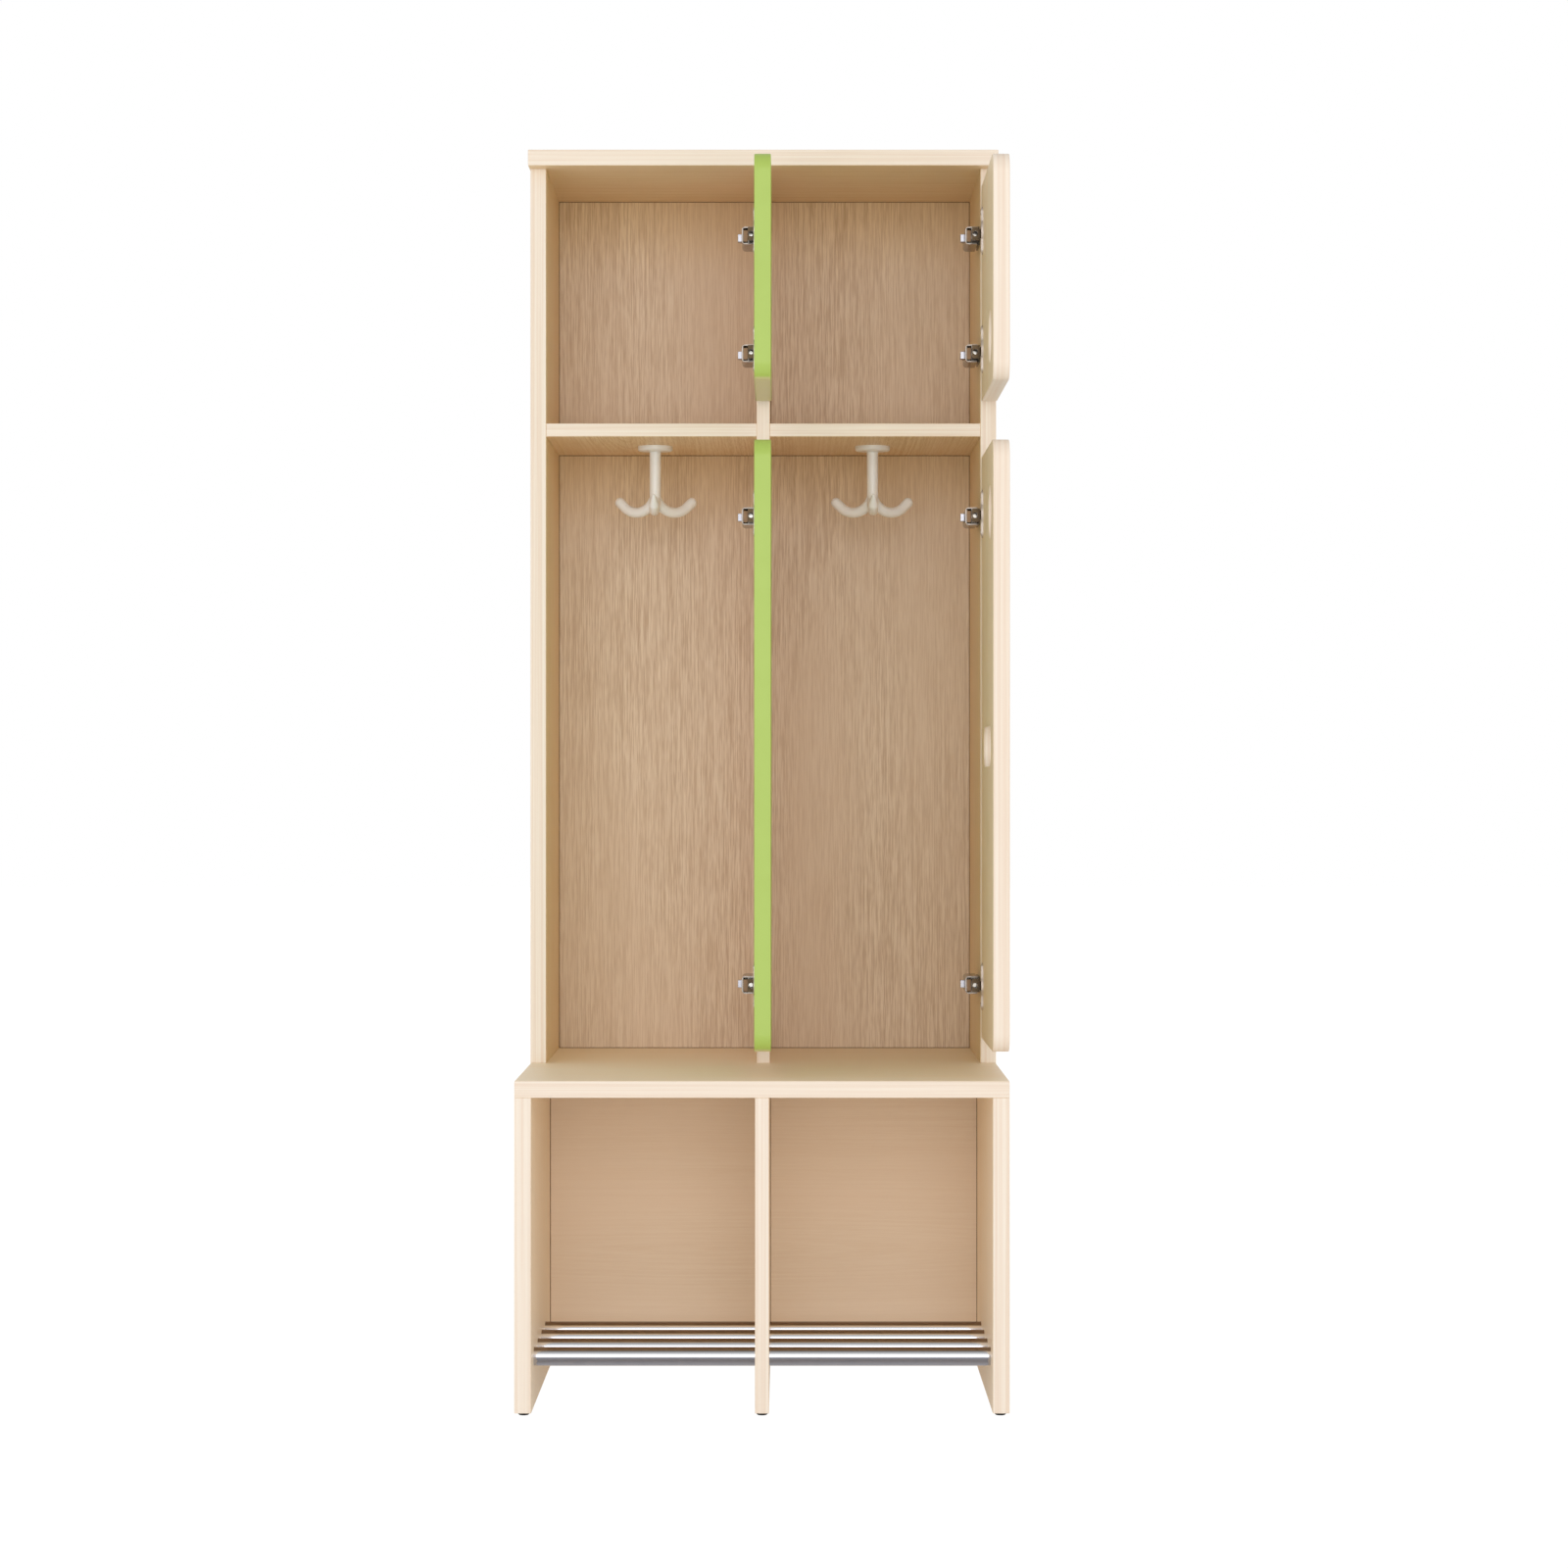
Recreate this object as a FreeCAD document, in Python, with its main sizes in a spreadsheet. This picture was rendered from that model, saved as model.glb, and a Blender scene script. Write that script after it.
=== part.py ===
import FreeCAD, Part
import math
import os
import re

import Sketcher

# Driving dimensions in millimetres and degrees. X runs to the right, Y to the back and Z up.
# The origin lies on the floor, under the middle of the unit.
SIZES = {
    # overall sizes
    "unit_width": 530,
    "unit_depth": 500,
    "unit_height": 1396,
    "seat_height": 360,
    "cabinet_depth": 245,
    "outer_board": 18,
    "inner_board": 15,
    "edge_radius": 1,
    "overrun": 5,
    # top board and back sheet
    "top_side_lip": 1.5,
    "back_sheet": 3,
    "back_rebate": 8,
    "back_clearance": 0.2,
    # shelves
    "shelf_drop": 305,
    # bench
    "bench_back_setback": 70,
    "glide_height": 4.5,
    # doors
    "door_width": 235,
    "door_board": 18,
    "door_gap": 3,
    "door_corner_radius": 20,
    "upper_door_top_gap": 21,
    "upper_door_bottom_gap": 25,
    "lower_door_top_gap": 24,
    "lower_door_bottom_gap": 29,
    "finger_hole_radius": 29,
    "finger_hole_edge": 66,
    "upper_hole_rise": 53,
    "lower_hole_drop": 74.5,
    "slot_length": 141,
    "slot_width": 44,
    # door hinges: the pin lies in the cup, inside the thickness of the door
    "side_overlay": 17,
    "divider_overlay": 15,
    "pivot_edge": 6.5,
    "pivot_depth": 9.5,
    "upper_hinge_inset": 55,
    "lower_door_top_hinge_inset": 66.5,
    "lower_door_bottom_hinge_inset": 60,
    "cup_pocket_radius": 17.5,
    "cup_pocket_depth": 13,
    "cup_edge_strip": 2.5,
    "cup_clearance": 0.25,
    "cup_wall": 0.75,
    "flange_thickness": 1.2,
    "flange_lip": 1.5,
    "cup_screw_spacing": 42,
    "cup_screw_setback": 9.5,
    "flange_end_radius": 6,
    "cheek_thickness": 2,
    "cheek_reach": 3.5,
    "cheek_rise": 4,
    "cheek_start": 4.6,
    "pin_radius": 1.2,
    "running_clearance": 0.05,
    "side_clearance": 0.3,
    # hinge arm
    "knuckle_radius": 2,
    "tongue_width": 10,
    "neck_sheet": 2,
    "face_start": 1.5,
    "face_width": 15,
    "riser_reach": 12,
    "arm_wall": 1.5,
    "arm_width": 20,
    "arm_height": 17,
    "arm_lift": 3.5,
    "arm_front_setback": 1,
    "arm_length": 59,
    "arm_shoulder_radius": 4,
    "latch_width": 8.6,
    "latch_height": 4.6,
    "latch_length": 11,
    "latch_gap": 1.5,
    "access_hole_radius": 3,
    "access_hole_reach": 6.4,
    # hinge mounting plate
    "plate_line": 37,
    "plate_length": 46,
    "plate_width": 18,
    "plate_thickness": 2,
    "plate_screw_spacing": 32,
    "rib_width": 14,
    "rib_front": 26,
    "rib_back": 48,
    "rib_clearance": 0.3,
    # screws
    "screw_clearance": 0.1,
    "recess_width": 0.9,
    "recess_depth": 0.7,
    "recess_reach_share": 0.6,
    "plate_screw_radius": 1.8,
    "plate_screw_length": 11,
    "plate_head_radius": 3.6,
    "plate_head_height": 1.6,
    "cup_screw_radius": 1.7,
    "cup_screw_length": 11,
    "cup_head_radius": 3.4,
    "cup_head_height": 1.4,
    "arm_screw_radius": 1.9,
    "arm_screw_length": 10,
    "arm_head_radius": 4,
    "arm_head_height": 1.8,
    "set_screw_radius": 1.5,
    "set_screw_length": 7,
    "set_head_radius": 2.5,
    "set_head_height": 1.6,
    "set_screw_reach": 7,
    "blind_end": 1,
    # shoe tubes
    "tube_radius": 10,
    "tube_wall": 1.2,
    "tube_socket": 10,
    "tube_clearance": 0.2,
    "tube_centre_height": 58,
    "tube_first_setback": 51,
    "tube_last_gap": 83.5,
    # glides
    "glide_radius": 6.3,
    "glide_foot_radius": 5,
    "glide_taper": 1.5,
    "glide_end_setback": 20,
    "glide_peg_radius": 2.5,
    "glide_peg_length": 12,
    # coat hooks
    "hook_setback": 125,
    "hook_disc_radius": 20.5,
    "hook_disc_face_radius": 17.5,
    "hook_disc_rim": 2.5,
    "hook_disc_height": 5,
    "hook_stem_radius": 6.3,
    "hook_stem_drop": 68,
    "prong_radius": 5.5,
    "prong_bend_radius": 26,
    "prong_low_reach": 25,
    "prong_low_drop": 76.5,
    "prong_start_angle": 62,
    "prong_tip_angle": 42,
    "prong_tip_length": 8.6,
    "stud_radius": 2.5,
    "stud_in_shelf": 10,
    "stud_in_hook": 16,
    # dowels
    "dowel_radius": 4,
    "dowel_length": 30,
    "dowel_in_face": 11,
    "dowel_clearance": 0.1,
    "dowel_end_inset": 45,
    "bench_dowel_inset": 75,
    "back_dowel_inset": 60,
}

SHEET = "Sizes"
PRONG_COUNT = 3
TUBE_COUNT = 4
TOUCHING = 1e-6
FULL_TURN = 360
QUARTER_TURN = 90

# Places that follow from the sizes, as expressions.
SIDE_FACE = "(unit_width / 2 - outer_board)"
HALF_DIVIDER = "(inner_board / 2)"
BAY_WIDTH = f"({SIDE_FACE} - {HALF_DIVIDER})"
REAR = "(unit_depth / 2)"
CABINET_FRONT = f"({REAR} - cabinet_depth)"
BACK_FACE = f"({REAR} - back_sheet)"
TOP_UNDERSIDE = "(unit_height - outer_board)"
CABINET_HEIGHT = f"({TOP_UNDERSIDE} - seat_height)"
SHELF_UNDERSIDE = f"({TOP_UNDERSIDE} - shelf_drop)"
SHELF_TOP = f"({SHELF_UNDERSIDE} + inner_board)"
INNER_DEPTH = "(cabinet_depth - back_sheet)"
SEAT_UNDERSIDE = "(seat_height - outer_board)"
BENCH_PANEL_HEIGHT = f"({SEAT_UNDERSIDE} - glide_height)"
BENCH_BACK_FACE = f"({CABINET_FRONT} + bench_back_setback)"
BENCH_DIVIDER_DEPTH = f"({BENCH_BACK_FACE} + {REAR})"
UPPER_DOOR_LOW = f"({SHELF_TOP} + upper_door_bottom_gap)"
UPPER_DOOR_HEIGHT = f"({TOP_UNDERSIDE} - upper_door_top_gap - {UPPER_DOOR_LOW})"
LOWER_DOOR_LOW = "(seat_height + lower_door_bottom_gap)"
LOWER_DOOR_HEIGHT = f"({SHELF_UNDERSIDE} - lower_door_top_gap - {LOWER_DOOR_LOW})"
CUP_CENTRE = "(cup_edge_strip + cup_pocket_radius)"
PIVOT_FORWARD = "(door_gap + pivot_depth)"
OPEN_EDGE = f"({PIVOT_FORWARD} - pivot_edge)"
DOWEL_IN_END = "(dowel_length - dowel_in_face)"
DOWEL_LONG = "(dowel_length - 2 * dowel_clearance)"
DOWEL_HOLE = "dowel_radius + dowel_clearance"
UPRIGHT_CENTRES = ("-(unit_width - outer_board) / 2", "0", "(unit_width - outer_board) / 2")
CABINET_DOWEL_DEPTHS = ("dowel_end_inset", "cabinet_depth - dowel_end_inset")
BENCH_DOWEL_DEPTHS = ("bench_dowel_inset", "unit_depth - bench_dowel_inset")
BENCH_DIVIDER_DOWEL_DEPTHS = ("bench_dowel_inset", f"{BENCH_DIVIDER_DEPTH} - bench_dowel_inset")
BENCH_BACK_DOWEL_HEIGHTS = ("back_dowel_inset", f"{BENCH_PANEL_HEIGHT} - back_dowel_inset")
TUBE_PITCH = f"(({BENCH_DIVIDER_DEPTH} - tube_first_setback - tube_last_gap) / {TUBE_COUNT - 1})"
TUBE_SPOTS = [f"tube_first_setback + {number} * {TUBE_PITCH}" for number in range(TUBE_COUNT)]
TUBE_HOLE = "tube_radius + tube_clearance"
SIDE_REAR_GLIDE = "unit_depth - glide_end_setback"
DIVIDER_REAR_GLIDE = f"{BENCH_DIVIDER_DEPTH} - glide_end_setback"
PIN_HOLE = "pin_radius + running_clearance"
CHEEK_INSIDE = "(tongue_width / 2 + side_clearance)"
CHEEK_OUTSIDE = f"({CHEEK_INSIDE} + cheek_thickness)"
STUD_HOLE = "stud_radius + screw_clearance"
PLATE_SCREW_HOLE = "plate_screw_radius + screw_clearance"
PLATE_SCREW_DEPTH = "plate_screw_length + blind_end - plate_thickness"
SHELF_LEVEL = f"({SHELF_UNDERSIDE} + inner_board / 2)"

doc = FreeCAD.newDocument("cloakroom_unit")
sheet = doc.addObject("Spreadsheet::Sheet", SHEET)
for row, (name, number) in enumerate(SIZES.items(), start=1):
    sheet.set(f"A{row}", name)
    sheet.set(f"B{row}", str(number))
    sheet.setAlias(f"B{row}", name)
doc.recompute()

NAMES = re.compile(r"[a-z_][a-z_0-9]*")
nodes = []


def bound(text):
    """Write the names of sizes in an expression as cells of the sheet."""
    return NAMES.sub(lambda word: f"{SHEET}.{word[0]}" if word[0] in SIZES else word[0], text)


def value(text):
    """The number that an expression comes to."""
    return float(sheet.evalExpression(bound(text)))


def bind(thing, **properties):
    """Bind properties of a document object to expressions."""
    for name, text in properties.items():
        thing.setExpression(name, bound(text))


def place(thing, corner):
    """Bind the position of a document object to three expressions."""
    for axis, text in zip("xyz", corner):
        thing.setExpression(f"Placement.Base.{axis}", bound(text))


def node(thing, label):
    """Keep a finished document object as the sub-part of that name."""
    thing.Label = label
    nodes.append(thing)
    return thing


# Sketch-based bodies


def new_body(label, corner):
    """A body with its own origin at a corner of the piece."""
    body = doc.addObject("PartDesign::Body", label)
    place(body, corner)
    return node(body, label)


def sketch_on(body, role, offset=("0", "0", "0")):
    """A sketch on one of the body's origin planes, moved by an offset in the sketch's own axes."""
    sketch = body.newObject("Sketcher::SketchObject", f"{body.Name}_sketch")
    plane = next(item for item in body.Origin.OriginFeatures if item.Role == role)
    sketch.AttachmentSupport = [(plane, "")]
    sketch.MapMode = "FlatFace"
    for axis, text in zip("xyz", offset):
        sketch.setExpression(f"AttachmentOffset.Base.{axis}", bound(text))
    return sketch


def point(across, up):
    """A point of a sketch."""
    return FreeCAD.Vector(across, up, 0)


def measure(sketch, text, kind, *places):
    """Add a dimension that follows an expression."""
    index = sketch.addConstraint(Sketcher.Constraint(kind, *places, value(text)))
    sketch.setExpression(f"Constraints[{index}]", bound(text))


def rectangle(sketch, wide, tall):
    """A rectangle with its lower left corner on the sketch's origin."""
    across, up = value(wide), value(tall)
    corners = [point(0, 0), point(across, 0), point(across, up), point(0, up)]
    ends = corners[1:] + corners[:1]
    sketch.addGeometry([Part.LineSegment(a, b) for a, b in zip(corners, ends)], False)
    for side, kind in enumerate(("Horizontal", "Vertical", "Horizontal", "Vertical")):
        sketch.addConstraint(Sketcher.Constraint(kind, side))
        sketch.addConstraint(Sketcher.Constraint("Coincident", side, 2, (side + 1) % len(corners), 1))
    sketch.addConstraint(Sketcher.Constraint("Coincident", 0, 1, -1, 1))
    measure(sketch, wide, "DistanceX", 0, 1, 0, 2)
    measure(sketch, tall, "DistanceY", 1, 1, 1, 2)


def circle(sketch, across, up, radius):
    """A circle at a measured place, or on the sketch's origin where both places are zero."""
    shape = Part.Circle(point(value(across), value(up)), FreeCAD.Vector(0, 0, 1), value(radius))
    index = sketch.addGeometry(shape, False)
    if across == up == "0":
        sketch.addConstraint(Sketcher.Constraint("Coincident", index, 3, -1, 1))
    else:
        measure(sketch, across, "DistanceX", -1, 1, index, 3)
        measure(sketch, up, "DistanceY", -1, 1, index, 3)
    measure(sketch, radius, "Radius", index)


def long_slot(sketch, across, up, length, width):
    """A level slot with round ends, from the centre of its opening."""
    radius = value(f"({width}) / 2")
    reach = value(f"({length} - {width}) / 2")
    centre, height = value(across), value(up)
    up_axis = FreeCAD.Vector(0, 0, 1)
    left = Part.Circle(point(centre - reach, height), up_axis, radius)
    right = Part.Circle(point(centre + reach, height), up_axis, radius)
    quarter = math.pi / 2
    sketch.addGeometry(
        [
            Part.ArcOfCircle(left, quarter, 3 * quarter),
            Part.LineSegment(point(centre - reach, height - radius), point(centre + reach, height - radius)),
            Part.ArcOfCircle(right, -quarter, quarter),
            Part.LineSegment(point(centre + reach, height + radius), point(centre - reach, height + radius)),
        ],
        False,
    )
    for joint in ((0, 2, 1, 1), (1, 2, 2, 1), (2, 2, 3, 1), (3, 2, 0, 1)):
        sketch.addConstraint(Sketcher.Constraint("Tangent", *joint))
    sketch.addConstraint(Sketcher.Constraint("Horizontal", 1))
    measure(sketch, f"({width}) / 2", "Radius", 0)
    measure(sketch, f"{length} - {width}", "DistanceX", 0, 3, 2, 3)
    measure(sketch, f"{across} - ({length} - {width}) / 2", "DistanceX", -1, 1, 0, 3)
    measure(sketch, up, "DistanceY", -1, 1, 0, 3)


def pad(body, sketch, length):
    """Raise a sketch into a solid."""
    feature = body.newObject("PartDesign::Pad", f"{body.Name}_pad")
    feature.Profile = sketch
    bind(feature, Length=length)
    doc.recompute()


def pocket(body, sketch, depth, reverse):
    """Cut a sketch into a body and make sure that it took something away."""
    before = body.Shape.Volume
    feature = body.newObject("PartDesign::Pocket", f"{body.Name}_pocket")
    feature.Profile = sketch
    feature.Reversed = reverse
    bind(feature, Length=depth)
    doc.recompute()
    if body.Shape.Volume >= before:
        raise RuntimeError(f"a pocket in {body.Label} cut nothing")


def bores(body, role, level, reverse, centres, radius, depth):
    """Round holes of one size and depth, from a plane of the body."""
    sketch = sketch_on(body, role, ("0", "0", level))
    for across, up in centres:
        circle(sketch, across, up, radius)
    pocket(body, sketch, depth, reverse)


def ease(body, radius, chosen):
    """Round the edges of the body that a test picks."""
    base = body.Tip
    edges = [f"Edge{n}" for n, edge in enumerate(base.Shape.Edges, start=1) if chosen(edge)]
    feature = body.newObject("PartDesign::Fillet", f"{body.Name}_fillet")
    feature.Base = (base, edges)
    bind(feature, Radius=radius)
    doc.recompute()


def every_edge(edge):
    """All edges of a board."""
    return True


def lies_at(edge, axis, level):
    """Whether both ends of an edge lie at one level along an axis."""
    return all(math.isclose(getattr(vertex, axis), level, abs_tol=TOUCHING) for vertex in edge.Vertexes)


def front_edge(edge):
    """Edges of the face at the front of a board, where its own Y is zero."""
    return lies_at(edge, "Y", 0)


def front_corner(edge):
    """Edges of the front face that run through the thickness of an upright board."""
    return front_edge(edge) and not lies_at(edge, "X", edge.Vertexes[0].X)


def board(label, corner, size, eased):
    """A flat board between its lower left front corner and its length, depth and height."""
    body = new_body(label, corner)
    sketch = sketch_on(body, "XY_Plane")
    rectangle(sketch, size[0], size[1])
    pad(body, sketch, size[2])
    ease(body, "edge_radius", eased)
    return body


# Solids from primitives


def block(label, low, high):
    """A box between two opposite corners."""
    box = doc.addObject("Part::Box", label)
    bind(
        box,
        Length=f"({high[0]}) - ({low[0]})",
        Width=f"({high[1]}) - ({low[1]})",
        Height=f"({high[2]}) - ({low[2]})",
    )
    place(box, low)
    return box


TURNS = {
    "x": FreeCAD.Rotation(FreeCAD.Vector(0, 1, 0), QUARTER_TURN),
    "y": FreeCAD.Rotation(FreeCAD.Vector(1, 0, 0), -QUARTER_TURN),
    "z": FreeCAD.Rotation(),
}


def rod(label, axis, start, radius, length):
    """A round bar along one axis from the centre of its first end."""
    bar = doc.addObject("Part::Cylinder", label)
    bind(bar, Radius=radius, Height=length)
    bar.Placement = FreeCAD.Placement(FreeCAD.Vector(), TURNS[axis])
    place(bar, start)
    return bar


def joined(label, shapes):
    """Several solids made into one."""
    fusion = doc.addObject("Part::MultiFuse", label)
    fusion.Shapes = shapes
    fusion.Refine = True
    return fusion


def cut(label, base, tools):
    """Take one or more solids away from a base."""
    difference = doc.addObject("Part::Cut", label)
    difference.Base = base
    difference.Tool = tools[0] if len(tools) == 1 else joined(f"{label}_tools", tools)
    return difference


def group(label, members):
    """Several solids kept as one sub-part."""
    compound = doc.addObject("Part::Compound", label)
    compound.Links = members
    return node(compound, label)


def copy_of(label, master, corner, turn=FreeCAD.Rotation()):
    """A linked copy of a piece at its own place."""
    link = doc.addObject("App::Link", label)
    link.LinkedObject = master
    link.LinkTransform = True
    link.Placement = FreeCAD.Placement(FreeCAD.Vector(), turn)
    place(link, corner)
    return link


def moved(spot, axis, step):
    """A place moved along one axis by a signed step."""
    return tuple(f"{part} {step}" if name == axis else part for name, part in zip("xyz", spot))


def screw(label, axis, seat, kind):
    """A cross-head screw with its shank towards -X or -Y, from the middle of its head's underside."""
    length, height = f"{kind}_screw_length", f"{kind}_head_height"
    shank = rod(f"{label}_shank", axis, moved(seat, axis, f"- {length}"), f"{kind}_screw_radius", length)
    crown = rod(f"{label}_crown", axis, seat, f"{kind}_head_radius", height)
    floor = moved(seat, axis, f"+ {height} - recess_depth")
    outer = moved(seat, axis, f"+ {height} + overrun")
    narrow, wide = "recess_width / 2", f"recess_reach_share * {kind}_head_radius"
    across = "y" if axis == "x" else "x"
    bars = []
    for flat, tall in ((narrow, wide), (wide, narrow)):
        low = moved(moved(floor, across, f"- {flat}"), "z", f"- {tall}")
        high = moved(moved(outer, across, f"+ {flat}"), "z", f"+ {tall}")
        bars.append(block(f"{label}_recess_{len(bars)}", low, high))
    return cut(label, joined(f"{label}_solid", [shank, crown]), bars)


# The carcass boards


def make_top_board():
    """The top board reaches forward over the closed doors."""
    forward = "(door_gap + door_board)"
    body = board(
        "top_board",
        ("-(unit_width / 2 + top_side_lip)", f"{CABINET_FRONT} - {forward}", TOP_UNDERSIDE),
        ("unit_width + 2 * top_side_lip", f"cabinet_depth + {forward}", "outer_board"),
        every_edge,
    )
    depths = [f"{forward} + {spot}" for spot in CABINET_DOWEL_DEPTHS]
    columns = [f"unit_width / 2 + top_side_lip + ({column})" for column in UPRIGHT_CENTRES]
    spots = [(column, depth) for column in columns for depth in depths]
    bores(body, "XY_Plane", "0", True, spots, DOWEL_HOLE, "dowel_in_face")


def hinge_rows():
    """Heights of the four hinges on a hinge board, from the bottom of that board."""
    rows = []
    for low, height, bottom, top in (
        (LOWER_DOOR_LOW, LOWER_DOOR_HEIGHT, "lower_door_bottom_hinge_inset", "lower_door_top_hinge_inset"),
        (UPPER_DOOR_LOW, UPPER_DOOR_HEIGHT, "upper_hinge_inset", "upper_hinge_inset"),
    ):
        rows.append(f"({low} + {bottom})")
        rows.append(f"({low} + {height} - {top})")
    return rows


def plate_screw_spots():
    """Screw holes of the hinge plates on a hinge board, in its own depth and height."""
    spots = []
    for row in hinge_rows():
        for side in ("-", "+"):
            spots.append((f"plate_line {side} plate_screw_spacing / 2", f"{row} - seat_height"))
    return spots


def upright_end_dowels(body, half_width, depths, height):
    """Dowel holes in the lower and upper end of an upright."""
    spots = [(half_width, depth) for depth in depths]
    bores(body, "XY_Plane", "0", True, spots, DOWEL_HOLE, DOWEL_IN_END)
    bores(body, "XY_Plane", height, False, spots, DOWEL_HOLE, DOWEL_IN_END)


def make_cabinet_sides():
    """Both sides carry a rebate for the back sheet, and the right one carries hinges."""
    shelf_spots = [(depth, f"{SHELF_LEVEL} - seat_height") for depth in CABINET_DOWEL_DEPTHS]
    for label, left, inner, towards_right in (
        ("cabinet_left_side", "-(unit_width / 2)", "outer_board", False),
        ("cabinet_right_side", SIDE_FACE, "0", True),
    ):
        body = board(label, (left, CABINET_FRONT, "seat_height"),
                     ("outer_board", "cabinet_depth", CABINET_HEIGHT), front_edge)
        rebate_left = "0" if towards_right else "outer_board - back_rebate"
        rebate = sketch_on(body, "XY_Plane", (rebate_left, INNER_DEPTH, "0"))
        rectangle(rebate, "back_rebate", "back_sheet")
        pocket(body, rebate, CABINET_HEIGHT, True)
        upright_end_dowels(body, "outer_board / 2", CABINET_DOWEL_DEPTHS, CABINET_HEIGHT)
        bores(body, "YZ_Plane", inner, towards_right, shelf_spots, DOWEL_HOLE, "dowel_in_face")
        if towards_right:
            bores(body, "YZ_Plane", "0", True, plate_screw_spots(), PLATE_SCREW_HOLE, PLATE_SCREW_DEPTH)


def make_cabinet_divider():
    """The divider runs from the seat to the top, and the shelf dowels pass through it."""
    body = board(
        "cabinet_divider",
        (f"-{HALF_DIVIDER}", CABINET_FRONT, "seat_height"),
        ("inner_board", INNER_DEPTH, CABINET_HEIGHT),
        front_edge,
    )
    upright_end_dowels(body, HALF_DIVIDER, CABINET_DOWEL_DEPTHS, CABINET_HEIGHT)
    spots = [(depth, f"{SHELF_LEVEL} - seat_height") for depth in CABINET_DOWEL_DEPTHS]
    bores(body, "YZ_Plane", "0", True, spots, DOWEL_HOLE, "inner_board")
    bores(body, "YZ_Plane", "0", True, plate_screw_spots(), PLATE_SCREW_HOLE, PLATE_SCREW_DEPTH)


def make_shelves():
    """One shelf to a bay, with dowels in both ends and a hole for the hook's stud."""
    for label, left in (("left_shelf", f"-{SIDE_FACE}"), ("right_shelf", HALF_DIVIDER)):
        body = board(label, (left, CABINET_FRONT, SHELF_UNDERSIDE),
                     (BAY_WIDTH, INNER_DEPTH, "inner_board"), front_edge)
        spots = [(depth, "inner_board / 2") for depth in CABINET_DOWEL_DEPTHS]
        bores(body, "YZ_Plane", "0", True, spots, DOWEL_HOLE, DOWEL_IN_END)
        bores(body, "YZ_Plane", BAY_WIDTH, False, spots, DOWEL_HOLE, DOWEL_IN_END)
        stud_spot = (f"{BAY_WIDTH} / 2", "hook_setback")
        bores(body, "XY_Plane", "0", True, [stud_spot], STUD_HOLE, "stud_in_shelf + blind_end")


def make_back_sheet():
    """The thin back sits in the rebates of the sides."""
    half = f"({SIDE_FACE} + back_rebate - back_clearance)"
    body = new_body("cabinet_back", (f"-{half}", BACK_FACE, "seat_height"))
    sketch = sketch_on(body, "XY_Plane")
    rectangle(sketch, f"2 * {half}", "back_sheet")
    pad(body, sketch, CABINET_HEIGHT)


def make_seat():
    """The seat board joins the cabinet above to the bench below."""
    body = board(
        "seat_board",
        ("-(unit_width / 2)", f"-{REAR}", SEAT_UNDERSIDE),
        ("unit_width", "unit_depth", "outer_board"),
        every_edge,
    )
    columns = [f"unit_width / 2 + ({column})" for column in UPRIGHT_CENTRES]
    above = [f"{CABINET_FRONT} + {REAR} + {depth}" for depth in CABINET_DOWEL_DEPTHS]
    spots = [(column, depth) for column in columns for depth in above]
    bores(body, "XY_Plane", "outer_board", False, spots, DOWEL_HOLE, "dowel_in_face")
    below = [(column, depth) for column in (columns[0], columns[2]) for depth in BENCH_DOWEL_DEPTHS]
    below += [(columns[1], depth) for depth in BENCH_DIVIDER_DOWEL_DEPTHS]
    bores(body, "XY_Plane", "0", True, below, DOWEL_HOLE, "dowel_in_face")


def make_bench_uprights():
    """Bench sides with blind sockets for the tubes, and a divider that they pass through."""
    glide_hole = "glide_peg_radius + screw_clearance"
    peg_hole = "glide_peg_length + blind_end"
    for label, left, inner, towards_right in (
        ("bench_left_side", "-(unit_width / 2)", "outer_board", False),
        ("bench_right_side", SIDE_FACE, "0", True),
    ):
        body = board(label, (left, f"-{REAR}", "glide_height"),
                     ("outer_board", "unit_depth", BENCH_PANEL_HEIGHT), front_edge)
        middle = "outer_board / 2"
        bores(body, "XY_Plane", BENCH_PANEL_HEIGHT, False,
              [(middle, depth) for depth in BENCH_DOWEL_DEPTHS], DOWEL_HOLE, DOWEL_IN_END)
        glides = [(middle, depth) for depth in ("glide_end_setback", SIDE_REAR_GLIDE)]
        bores(body, "XY_Plane", "0", True, glides, glide_hole, peg_hole)
        sockets = [(spot, "tube_centre_height - glide_height") for spot in TUBE_SPOTS]
        bores(body, "YZ_Plane", inner, towards_right, sockets, TUBE_HOLE, "tube_socket")
        back_middle = f"{BENCH_BACK_FACE} + {REAR} + outer_board / 2"
        holes = [(back_middle, up) for up in BENCH_BACK_DOWEL_HEIGHTS]
        bores(body, "YZ_Plane", inner, towards_right, holes, DOWEL_HOLE, "dowel_in_face")
    body = board(
        "bench_divider",
        (f"-{HALF_DIVIDER}", f"-{REAR}", "glide_height"),
        ("inner_board", BENCH_DIVIDER_DEPTH, BENCH_PANEL_HEIGHT),
        front_edge,
    )
    bores(body, "XY_Plane", BENCH_PANEL_HEIGHT, False,
          [(HALF_DIVIDER, depth) for depth in BENCH_DIVIDER_DOWEL_DEPTHS], DOWEL_HOLE, DOWEL_IN_END)
    glides = [(HALF_DIVIDER, depth) for depth in ("glide_end_setback", DIVIDER_REAR_GLIDE)]
    bores(body, "XY_Plane", "0", True, glides, glide_hole, peg_hole)
    sockets = [(spot, "tube_centre_height - glide_height") for spot in TUBE_SPOTS]
    bores(body, "YZ_Plane", "0", True, sockets, TUBE_HOLE, "inner_board")


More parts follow.
